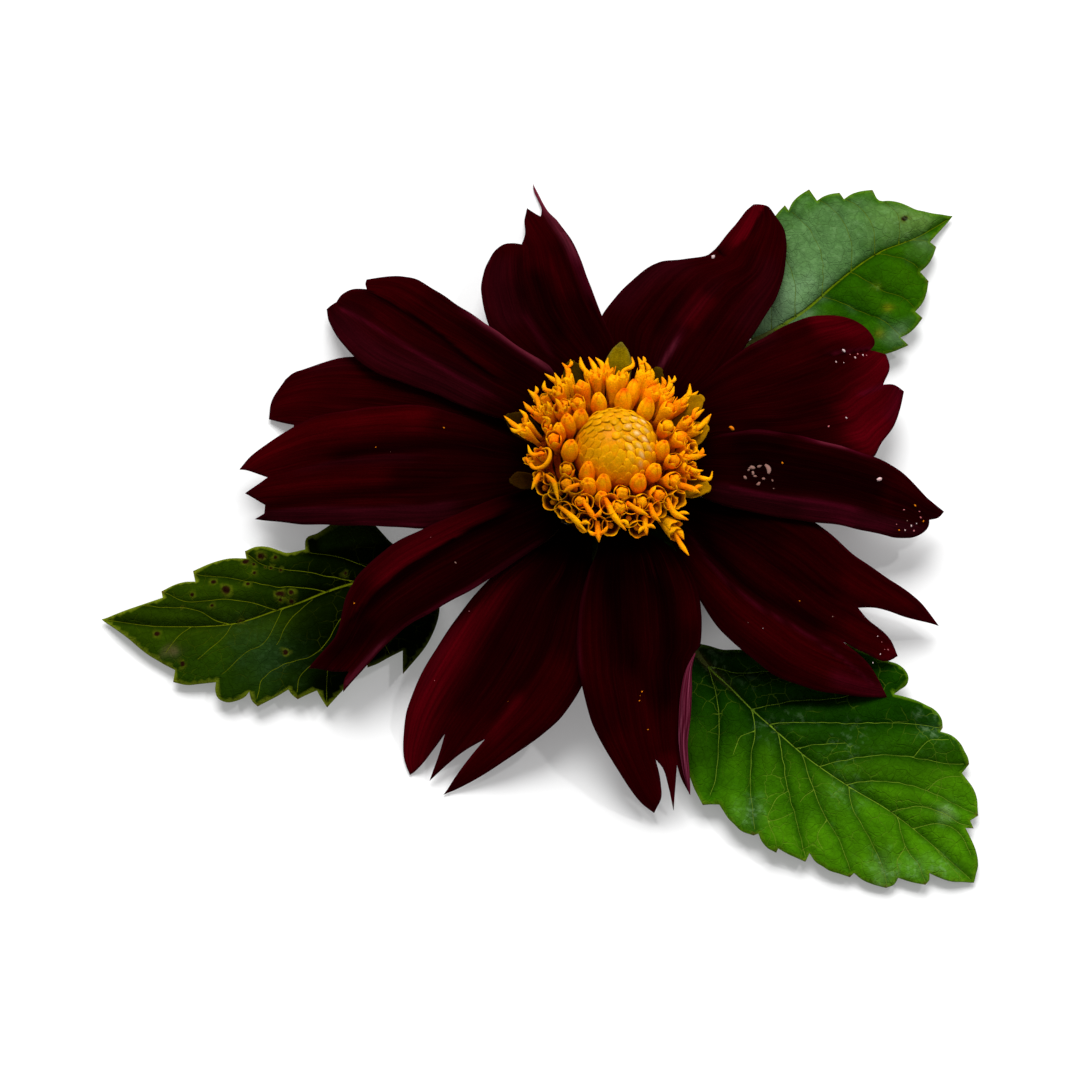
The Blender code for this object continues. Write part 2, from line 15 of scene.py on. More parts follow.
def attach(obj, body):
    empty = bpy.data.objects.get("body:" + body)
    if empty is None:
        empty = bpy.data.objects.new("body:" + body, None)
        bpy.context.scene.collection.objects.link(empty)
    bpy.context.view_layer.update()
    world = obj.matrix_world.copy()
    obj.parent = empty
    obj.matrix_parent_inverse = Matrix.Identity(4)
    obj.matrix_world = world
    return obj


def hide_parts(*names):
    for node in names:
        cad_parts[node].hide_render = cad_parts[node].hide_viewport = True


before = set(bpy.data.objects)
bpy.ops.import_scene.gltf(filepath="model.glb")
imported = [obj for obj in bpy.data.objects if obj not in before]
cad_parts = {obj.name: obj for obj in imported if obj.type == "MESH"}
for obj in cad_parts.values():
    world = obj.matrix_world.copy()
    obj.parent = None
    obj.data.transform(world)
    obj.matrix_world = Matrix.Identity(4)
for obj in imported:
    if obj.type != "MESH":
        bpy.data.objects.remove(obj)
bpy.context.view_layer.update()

MM = 0.001
AXIS_AT = (9.02, 1.85)
RAY_FOOT, RAY_FOOT_HALF = 9.15, 2.7
RAY_Z, RAY_LAYER = 13.0, 1.1
RAY_ARCH, RAY_CREST, RAY_DROOP, RAY_FALL = 0.6, 14.5, 1.6, 2.5
RAY_THICK, LEAF_THICK, REST = 0.45, 0.40, 0.015
GRID = 0.45

# ----------------------------------------------------------------------------
# ray florets: the same outlines as in the design, and what is seen on them
# ----------------------------------------------------------------------------
RAYS = {
    1: dict(az=103, whorl=0, reach=46, tip_z=1.2, fall=(0.8, -0.8),
            left=((15.5, 3.5), (20, 7), (27, 10), (32.5, 9.6), (37, 8.2), (39.4, 6.9)),
            teeth=((41.2, 5.5), (41.8, 4.3), (41.5, 3.1), (40.8, 2.1), (42.8, 1.2), (46.5, 0.4), (48.5, -0.4), (47.5, -1.1),
                   (46, -1.8), (47.6, -2.3), (49.5, -2.15), (51, -1.95)),
            right=((14, -4), (22, -4.5), (29.5, -4.5), (35.5, -4.5), (40.5, -4), (45, -3.2), (48.5, -2.75), (52.2, -2.1))),
    2: dict(az=64, whorl=-1, reach=49, tip_z=5.0, fall=(1.0, 1.0),
            left=((15.5, 6.5), (22, 11), (29, 10), (34, 8), (36, 5.5), (38.5, 2.8), (43, 2.2), (48.5, 1.8)),
            teeth=((50.1, 1.3), (50.4, 0.3)),
            right=((17, -4.5), (21, -7.5), (26.5, -8.2), (35, -8.4), (38.5, -8), (43, -6.7), (48, -4.4), (51, -1))),
    3: dict(az=26, whorl=0, reach=42, tip_z=6.0, fall=(0.8, 1.2),
            left=((17, 6), (22, 8), (28, 9.7), (36, 11.2), (39, 10.9)),
            teeth=((42, 9.2), (43.3, 6.5), (43, 4.6), (41.8, 3.7), (43.7, 2.6), (43.3, 0.9), (40.8, -1.8),
                   (42.4, -2.1)),
            right=((14, -2.6), (20, -6), (26.5, -10.5), (33.5, -11.7), (36, -10), (39, -8), (41.5, -5.5), (43.5, -3))),
    4: dict(az=356, whorl=1, reach=44, tip_z=5.5, fall=(0.4, 1.5),
            left=((13.5, 5), (17, 6.2), (20, 7), (25.5, 7), (35, 6.4), (38.5, 5.6), (42.5, 2.5)),
            teeth=((45, 1), (44.3, -0.1), (43, -0.9), (43, -1.5)),
            right=((11, -3), (14, -4.3), (17, -4.8), (24.5, -4.8), (32.5, -4.2), (38, -4.1), (40.5, -3.6))),
    5: dict(az=328, whorl=-1, reach=44, tip_z=4.5, fall=(0.9, 1.0),
            left=((12.5, 3.5), (19, 7.5), (27, 9.4), (33.5, 8.8), (42.5, 9.3), (46.5, 8.2)),
            teeth=((42.5, 6), (38.3, 4), (37, 2.8), (38.5, 2.4), (42.8, 1.9), (44.4, 0.8), (43.8, -0.5),
                   (40.6, -1.8), (37.7, -2.3), (42.4, -2.8)),
            right=((11.5, -3.5), (16.5, -7), (20, -9), (25, -11), (32, -11.6), (38, -9.8), (41.5, -7.8), (46, -4.5))),
    6: dict(az=280, whorl=1, reach=44, tip_z=3.5, fall=(-0.3, 1.2),
            left=((10.5, 3.5), (12, 5), (15, 7), (20.5, 8.4), (26.5, 7.5), (28, 6), (32, 5.2), (38, 3.4), (43.3, 3)),
            teeth=((41.2, 2.2), (40, 2), (44.9, 0.7), (42, 0.5), (40, 0.1), (39, -0.6), (41.5, -0.4), (43.4, -0.7)),
            right=((12, -3.4), (15, -5.2), (19, -7), (26.5, -8.5), (32.5, -8), (38, -6), (43, -3.2), (44.4, -1.7))),
    7: dict(az=242, whorl=-1, reach=44, tip_z=1.5, fall=(0.8, 1.5),
            left=((19.5, 8), (27.5, 10.8), (31.5, 10.2), (37.5, 7), (43, 3), (46, 0.4)),
            teeth=((42, 1.2), (38.2, 2.4), (41, 0.2), (45.3, -2), (41.5, -2.4), (39.7, -2.7), (42, -3.3), (44.3, -4)),
            right=((14.5, -3.6), (20, -6.6), (27.5, -8.4), (35, -9.2), (38.5, -8.9), (41.5, -7.9), (44, -6.5), (45.6, -4.8))),
    8: dict(az=215, whorl=1, reach=45, tip_z=6.0, fall=(0.6, 1.2),
            left=((10.5, 4), (14, 4.6), (22, 4.3), (29.5, 3.2), (34.5, 2.5), (39.5, 3), (44.5, 3.8)),
            teeth=((43.5, 2.7), (42.5, 2.3), (44, 1)),
            right=((11.5, -3.3), (17, -5), (25, -7.2), (29.5, -8), (34, -7.7), (36.5, -6.7), (41.5, -2.9), (46, -2.2))),
    9: dict(az=179, whorl=0, reach=47, tip_z=5.0, fall=(1.5, 0.6),
            left=((16.5, 6.5), (23.5, 8), (30, 7), (40, 5.3), (46.6, 3.4)),
            teeth=((45.3, 3), (45.2, 2), (48, 0.1), (45, -1.8), (47, -2.9)),
            right=((14, -5), (20, -8.2), (25, -9.9), (31.5, -10.3), (38.5, -10.1), (43.5, -8.2), (47.5, -5.7), (49, -4))),
    10: dict(az=158, whorl=-1, reach=47, tip_z=0.6, fall=(1.0, 1.0),
             left=((12, 2), (19, 4.5), (26.5, 7.5), (33, 9), (39, 9.5), (43.5, 8.7)),
             teeth=((45, 7.5), (43, 6), (43.4, 4.4), (47.4, 4)),
             right=((12, -4.8), (19, -5.9), (26.5, -7.3), (33, -8.1), (39.5, -7.7), (43.5, -6.5), (46.2, -4.8), (48, -2),
                    (48.2, 1.5))),
    11: dict(az=136, whorl=1, reach=48, tip_z=3.0, fall=(1.3, 0.6),
             left=((11, 2.4), (14.5, 4.5), (18, 5.7), (25, 7.2), (35, 9.2), (39, 8.6), (46.3, 6), (48.6, 4.3)),
             teeth=((47.7, 3.2), (48, 2.1), (47.6, 0.7), (45.6, -0.6), (46.5, -1.2)),
             right=((12.5, -4.3), (16, -5.4), (21, -5.1), (32, -5.4), (40.5, -5.8), (43.4, -5.2), (47.3, -2.2))),
}

# colours of a ray floret, linear; dark also serves as painted shade, and plum, magenta and pink as painted sheen and
# highlights
BASE = (0.0085, 0.00003, 0.00022)
SHADES = {
    "dark": (0.0014, 0.00004, 0.00008),
    "red": (0.030, 0.00004, 0.0005),
    "crimson": (0.056, 0.00010, 0.0019),
    "plum": (0.0170, 0.0009, 0.0025),
    "magenta": (0.042, 0.0013, 0.0058),
    "pink": (0.115, 0.014, 0.026),
}
UNDERSIDE = (0.046, 0.0030, 0.0085)

# What is seen on each ray floret: kind, half width, strength, and points (along, across).  A ridge or groove
# has its height in millimetres for a strength; a colour has how much of it shows.  With + or - after its kind a
# mark lies only to the left or right of its line and has a sharp edge there.
# The colour marks are partly the floret's own colour and partly painted light: dark marks along the grooves are painted
# shade in the creases, the plum and magenta bands are painted sheen where a surface turns towards the light, and the
# thin pink lines are painted highlights on margins and ridges.
MARKS = {
    1: (("dark", 2.3, 0.55, ((17, -2.4), (26, -2.7), (34, -2.8), (41, -2.5))),
        ("dark", 2.2, 0.55, ((17, 2.2), (22, 3.4), (28, 4.4), (34, 4.2))),
        ("pink+", 0.60, 0.95, ((52, -2.3), (48, -3.0), (45, -3.4), (38, -4.2), (32, -4.6))),
        ("magenta", 0.5, 0.6, ((38, -3.6), (32, -4), (25, -4.2))),
        ("plum", 2.4, 0.50, ((23, 6.5), (30, 7.5), (36, 6.5), (40, 5))),
        ("magenta", 0.45, 0.30, ((27, 5.2), (22, 4.2), (17, 2.8))),
        ("ridge", 0.8, 0.20, ((27, 6.5), (22, 6), (18, 4.5))),
        ("pink", 0.9, 0.9, ((52.5, -1.9), (50, -2.1), (48, -2.3))),
        ("groove", 1.0, 0.30, ((35, 2.5), (26, 2), (19, 1.5))),
        ("groove", 0.7, 0.30, ((40, 2), (33, 4), (27, 4.5))),
        ("dark", 0.8, 0.6, ((40, 2.2), (33, 4.2), (27, 4.8))),
        ("red", 1.6, 0.2, ((45, -0.5), (36, -1), (26, -1))),
        ("dark", 1.3, 0.75, ((36, 2.3), (28, 1.4), (19, 1.0)))),
    2: (("magenta", 0.45, 0.45, ((14, 0.4), (19, 0.2), (25, 0))),
        ("crimson", 1.3, 0.40, ((24, 0.2), (28, 0), (32, -0.3))),
        ("pink", 0.26, 0.40, ((15.5, 0.4), (19, 0.2), (23, 0))),
        ("plum+", 2.0, 0.25, ((14, 0.4), (19, 0.2), (25, 0), (31, -1), (36, -1.5))),
        ("ridge", 0.7, 0.20, ((16, 0.3), (25, 0), (31, -1), (37, -1.5))),
        ("plum", 2.4, 0.5, ((22, 10), (28, 9.5), (33, 7), (37, 3.5))),
        ("crimson+", 2.2, 0.75, ((51, -0.2), (47, -0.4), (43, -0.5), (40, 0.2))),
        ("dark-", 1.0, 0.5, ((51, -0.2), (47, -0.4), (43, -0.5))),
        ("dark", 0.35, 0.9, ((40.5, 2.6), (39.3, 1.4), (38.6, 0.2))),
        ("groove", 0.5, 0.35, ((40.5, 2.6), (39.3, 1.4), (38.6, 0.2))),
        ("groove", 1.2, 0.3, ((20, 2.5), (26, 3), (32, 2.5))),
        ("dark", 1.2, 0.4, ((20, 2.5), (26, 3), (32, 2.5))),
        ("groove", 1.2, 0.3, ((23, -2.5), (30, -3.5), (36, -3.5), (43, -2))),
        ("dark", 1.0, 0.3, ((23, -2.5), (30, -3.5), (36, -3.5), (43, -2))),
        ("plum", 1.8, 0.4, ((27, -6.5), (36, -6.5), (43, -4.5)))),
    3: (("crimson", 2.4, 0.55, ((35, 10.3), (39, 9), (42, 7))),
        ("crimson", 2.6, 0.85, ((31, -10.5), (37, -7.5), (41.5, -5))),
        ("crimson", 1.3, 0.6, ((41.5, 2.8), (43.2, 1.6), (42.5, -0.5))),
        ("magenta", 1.2, 0.45, ((38, -7.5), (41.5, -4.6), (42.6, -3))),
        ("crimson", 2.4, 0.55, ((31, -4.6), (36, -3.6), (40, -0.5), (41.5, 2.5))),
        ("red", 2.4, 0.15, ((24, 5), (34, 7))),
        ("dark", 1.7, 0.5, ((17, -3.2), (21, -4.8), (25, -6.6))),
        ("dark", 0.35, 0.8, ((41.5, 3.8), (38, 4.2), (34, 4.6))),
        ("magenta+", 0.4, 0.7, ((41.8, 3.9), (38.5, 4.1), (35, 4.5))),
        ("groove", 0.5, 0.25, ((41.5, 3.6), (38, 4.1), (33, 4.6))),
        ("magenta", 0.35, 0.6, ((41, -1.9), (38.5, -2.3), (36, -2.6))),
        ("groove", 1.1, 0.3, ((41, -2), (34, -2.5), (26, -3), (18, -2.5))),
        ("dark", 1.1, 0.45, ((37, -2.2), (34, -2.5), (26, -3), (18, -2.5))),
        ("groove", 1.0, 0.25, ((35, 1.5), (28, 1.5), (20, 1))),
        ("dark", 0.9, 0.35, ((36, 1.5), (28, 1.5), (20, 1))),
        ("dark", 1.8, 0.35, ((24, 6.2), (28, 7.4), (33, 7.8))),
        ("plum", 1.4, 0.3, ((26, 9), (31, 10)))),
    4: (("dark", 4.2, 0.85, ((16, 1.5), (22, 1.5), (30, 1.8), (39, 1))),
        ("dark", 1.5, 0.7, ((15, 3.8), (20, 5), (25, 4.6))),
        ("dark", 2.6, 0.65, ((37, 0.6), (40, 0.4), (43, 0.3))),
        ("plum-", 2.2, 1.0, ((12, -2.0), (14, -2.2), (21, -2.6), (28, -2.3), (34, -2.1), (41, -2.0))),
        ("magenta", 0.28, 0.9, ((13, -2.1), (21, -2.6), (28, -2.3), (35, -2.1))),
        ("magenta", 1.2, 0.40, ((25, -3.3), (29, -3.3), (34, -3.2))),
        ("magenta", 0.6, 0.5, ((30, -3.8), (35, -3.5), (39, -3.4))),
        ("ridge", 0.6, 0.35, ((13, -2.1), (21, -2.6), (28, -2.3), (38, -2))),
        ("magenta", 0.4, 0.9, ((24, 7), (29, 6.8), (33, 6.6), (36, 6.2))),
        ("pink", 0.28, 0.7, ((27, 7), (32, 6.7))),
        ("magenta", 0.35, 0.5, ((13, 5), (18, 6.4), (24, 7))),
        ("groove", 1.3, 0.3, ((14, 1.5), (25, 2.5), (36, 2)))),
    5: (("dark", 2.8, 0.55, ((15, 2.4), (21, 3.6), (26, 4.8))),
        ("magenta", 0.20, 0.55, ((12, -1), (19, -4.5), (26, -5.5), (32, -5), (38, -4.5), (43.5, -4.5))),
        ("ridge", 0.7, 0.28, ((12, -1), (19, -4.5), (26, -5.5), (32, -5), (38, -4.5), (43, -4.5))),
        ("red-", 3.4, 0.55, ((13, -1.6), (19, -4.8), (26, -5.8), (32, -5.3), (38, -4.8), (44, -4.9))),
        ("magenta", 1.2, 0.45, ((38, -7.5), (42, -6), (45, -4.9))),
        ("groove", 0.9, 0.40, ((13, 0), (19, -2.8), (25, -3.8), (30, -3.2), (37, -2.6))),
        ("dark", 1.2, 0.8, ((13, 0), (19, -2.8), (25, -3.8), (30, -3.2), (37, -2.6))),
        ("red", 1.0, 0.5, ((32, 4.8), (36, 5.5), (42, 7.5))),
        ("groove", 1.0, 0.3, ((23, 0.5), (31, 1.5), (36, 3))),
        ("dark", 1.0, 0.5, ((23, 0.5), (31, 1.5), (36, 3))),
        ("crimson", 1.0, 0.45, ((42.5, -2.5), (43.8, -0.8), (43.4, 0.6))),
        ("red", 1.4, 0.35, ((36, 0), (42, 0)))),
    6: (("magenta", 0.24, 0.60, ((12, -3.3), (18, -6.4), (23, -7.9), (28, -8.3))),
        ("red", 1.2, 0.25, ((14, -3.5), (20, -5.5), (27, -6.5), (33, -6))),
        ("groove", 1.0, 0.32, ((13, -1), (17, -2.2), (23, -2.5), (30, -1.5))),
        ("dark", 2.0, 0.7, ((13, -1), (17, -2.2), (23, -2.5), (30, -1.5))),
        ("groove", 1.0, 0.32, ((14, 2.5), (21, 4), (27, 3.5), (35, 1))),
        ("dark", 1.8, 0.7, ((14, 2.5), (21, 4), (27, 3.5), (35, 1))),
        ("red", 1.2, 0.35, ((15, 5), (20, 6.6), (25, 6.5))),
        ("red", 0.7, 0.4, ((31, -1), (36, -0.5), (39, -0.5))),
        ("crimson", 1.6, 0.35, ((38, 1.4), (40.5, 0.8), (43, 0.6))),
        ("red", 2.2, 0.45, ((34, -6), (40, -4.5), (43, -2.5)))),
    7: (("crimson", 2.6, 0.85, ((13, -3.4), (19, -5), (24, -6.3), (30, -7), (37, -7.5), (44, -6))),
        ("magenta", 0.6, 0.20, ((24, -7), (31, -8), (38, -8))),
        ("groove", 1.2, 0.35, ((13, 0), (22, -2), (30, -1.5), (39, -2.7))),
        ("dark", 1.9, 0.45, ((13, 0), (22, -2), (30, -1.5), (38, -2))),
        ("groove", 0.8, 0.35, ((13, 2), (20, 3.5), (26, 4.5), (31, 3.5), (38, 2))),
        ("dark", 1.2, 0.45, ((13, 2), (20, 3.5), (26, 4.5), (31, 3.5), (37, 2.3))),
        ("dark", 0.3, 0.4, ((36, -0.2), (31, 0.6), (25, 0.6))),
        ("dark", 1.6, 0.25, ((20, 0.4), (25, 0.8), (30, 0.6))),
        ("crimson", 1.0, 0.40, ((31, 4.6), (35, 3.8), (39, 3.2))),
        ("red", 2.4, 0.4, ((42, 2), (37, 5), (31, 7.5), (24, 7)))),
    8: (("crimson-", 3.0, 0.52, ((13, -1.8), (18, -2.6), (25, -3.4), (30, -3.9), (35, -3.7))),
        ("dark+", 2.2, 0.9, ((13, -1.8), (18, -2.6), (25, -3.4), (30, -3.9), (36, -3.6), (41, -2.8))),
        ("groove", 0.9, 0.45, ((13, -0.8), (18, -1.6), (28, -2.4), (34, -2.6), (40, -1.8))),
        ("ridge", 0.9, 0.20, ((16, -3.5), (25, -4.8), (31, -5.2), (37, -4.6))),
        ("magenta", 0.32, 0.95, ((12, 4.4), (22, 4.1), (30, 3), (36, 2.4))),
        ("dark", 1.7, 0.50, ((18, 1.8), (26, 1.6), (34, 0.8), (41, 1.0))),
        ("magenta", 0.45, 0.45, ((33, 2.3), (38, 2.5), (45, 3.5))),
        ("dark", 1.6, 0.7, ((36, -1.5), (39, -0.6), (42, -0.8))),
        ("dark", 1.8, 0.55, ((38, -2.4), (41, -1.4), (45, -0.6))),
        ("pink", 0.22, 0.35, ((36, 2.2), (40, 2.6), (44, 3.4)))),
    9: (("red", 2.6, 0.7, ((22, -7.5), (26, -8.3), (32, -8.5), (41, -7.5), (47, -5))),
        ("dark", 1.8, 0.35, ((16, 0.2), (24, 0.2), (31, 0))),
        ("dark", 1.6, 0.30, ((17, 4.2), (22, 5.6), (26, 6))),
        ("dark", 1.2, 0.30, ((39, -0.4), (43, -0.4), (46, -0.4))),
        ("groove", 0.8, 0.35, ((13, -1.2), (19, -3), (25, -3.5), (33, -3.3), (45, -2))),
        ("dark", 1.3, 0.75, ((13, -1.2), (19, -3), (25, -3.5), (31, -3.5), (38, -3))),
        ("plum+", 1.2, 0.45, ((23, -2.2), (28, -2.4), (34, -2.7), (42, -2.4))),
        ("red", 1.5, 0.45, ((27, 0.5), (38, 0.3), (46, 0.2))),
        ("groove", 0.8, 0.3, ((18, 2), (28, 2.6), (38, 2.4), (45, 2.2))),
        ("dark", 0.9, 0.5, ((18, 2), (28, 2.6), (38, 2.4), (45, 2.2))),
        ("plum+", 3.2, 0.85, ((18, 4.5), (24, 5), (31, 4.4), (38, 3.4), (46, 2.7))),
        ("magenta", 0.3, 0.6, ((22, 7.8), (28, 7.2), (34, 6.2)))),
    10: (("red", 3.6, 0.2, ((46, 1), (43, -3.5), (36, -5.5), (28, -5))),
         ("dark", 1.8, 0.38, ((18, 0.6), (26, 1.2), (37, 0.6))),
         ("groove", 1.2, 0.25, ((18, -1), (30, -0.5), (42, 1))),
         ("groove", 1.2, 0.25, ((22, 3.5), (32, 4.5), (42, 5))),
         ("plum", 1.6, 0.3, ((38, -7), (44, -5.5)))),
    11: (("dark", 2.9, 0.60, ((39, -2.8), (32, -3.2), (24, -3), (15, -2.6))),
         ("dark", 1.4, 0.40, ((33, 3.4), (25, 3.1), (17, 2.2))),
         ("dark", 1.4, 0.40, ((46, 2.4), (43, 2.8), (40, 3.2))),
         ("red-", 1.4, 0.25, ((46, -0.7), (38, -0.6), (31, -0.3), (24, 0.4), (18, 0.4))),
         ("red", 2.4, 0.12, ((45, -3), (38, -4.2), (28, -4))),
         ("ridge", 0.8, 0.30, ((44, -1.6), (36, -1.9), (26, -1.4))),
         ("groove", 0.6, 0.40, ((45, -0.2), (38, 0), (30, 0.4), (22, 1.0), (17, 0.9))),
         ("dark+", 1.1, 0.95, ((46, -0.7), (38, -0.6), (31, -0.3), (24, 0.4), (18, 0.4))),
         ("plum", 2.3, 0.62, ((45, 5.5), (37, 7.0), (28, 6.0), (22, 5.0), (17, 4.0))),
         ("magenta", 0.25, 0.5, ((46, 3.8), (40, 4), (32, 4.2), (24, 3.8), (16, 2.6))),
         ("ridge", 0.6, 0.2, ((46, 3.8), (40, 4), (32, 4.2), (24, 3.8))),
         ("magenta", 0.6, 0.6, ((33, -5.2), (27, -5), (14, -4.9))),
         ("pink", 0.42, 0.80, ((31, -5.5), (26, -5.2), (20, -5.1), (13, -5.2)))),
}

# Leaves: the same outlines as in the design.
LEAVES = {
    "leaf_left": dict(
        base=(-23.3, -10.8), az=186.8, length=43.7, rise=(2.2, 1.9),
        midrib=((0, -1.8), (11, -0.5), (19.5, 1.8), (27, 3.2), (35, 2.3), (43.7, 0)),
        left=((5, 13.4, 3.6), (8.5, 11.6, 0), (9.5, 11.8, 0.8), (13, 14.6, 0), (15.2, 16.9, 2.7), (19, 15, 1.4),
              (24.2, 15.2, 2), (29.3, 13.7, 2), (34.9, 10.3, 1.6)),
        right=((4.5, -5.8, 0), (6.4, -8.8, 0), (10, -10.8, 1), (13, -9.6, 0), (15.2, -8.2, 0), (16.5, -6.1, 0),
               (20, -6.3, 0), (22.3, -7.5, 0), (24.2, -7.4, 1.1), (31.1, -5.2, 1.7), (35.5, -2.7, 1))),
    "leaf_lower_right": dict(
        base=(11.6, -20.4), az=317.8, length=47.7, rise=(2.4, 2.0),
        midrib=((0, -0.3), (8.4, -0.8), (15.4, -1.1), (23.3, -1.2), (30.4, -0.4), (39.3, 0.5), (47.7, 0)),
        left=((3.5, 1.8, 0), (5.2, 3.4, 0), (10, 10, 0), (14, 13, 0), (18.1, 14.9, 0.9), (23.8, 15, 2.4), (31.3, 13.4, 1.8), (37.4, 11.3, 1.6), (42.2, 7.4, 1.6), (43.1, 5.3, 0.6)),
        right=((15.8, -15.8, 1.8), (22.4, -15.4, 0.9), (26.6, -14.9, 0.5), (30.2, -13.2, 1.6), (35.8, -10.9, 0.8),
               (40.4, -8.6, 1.8), (43.7, -5, 1.5))),
    "leaf_upper_right": dict(
        base=(20.2, 25.2), az=35.9, length=35.1, rise=(2.4, 2.1),
        midrib=((0, -0.4), (7.7, -0.6), (14, 0.3), (22.5, 1), (29.7, 0), (35.1, 0)),
        left=((7.6, 10.5, 1), (12.3, 12.9, 1), (16.5, 14.2, 1), (20.9, 14.4, 2), (24, 11.7, 1.3), (28.2, 9.4, 2)),
        right=((4.4, -8.3, 1.2), (10.8, -12.2, 1.4), (16.8, -13.1, 1.7), (21.1, -10.8, 1.5), (25.6, -6.5, 1.8),
               (29.8, -2.9, 1.3))),
}
PETIOLE_Z = {"leaf_left": 5.4, "leaf_upper_right": 5.4, "leaf_lower_right": 3.0}
PETIOLE_R = 0.85
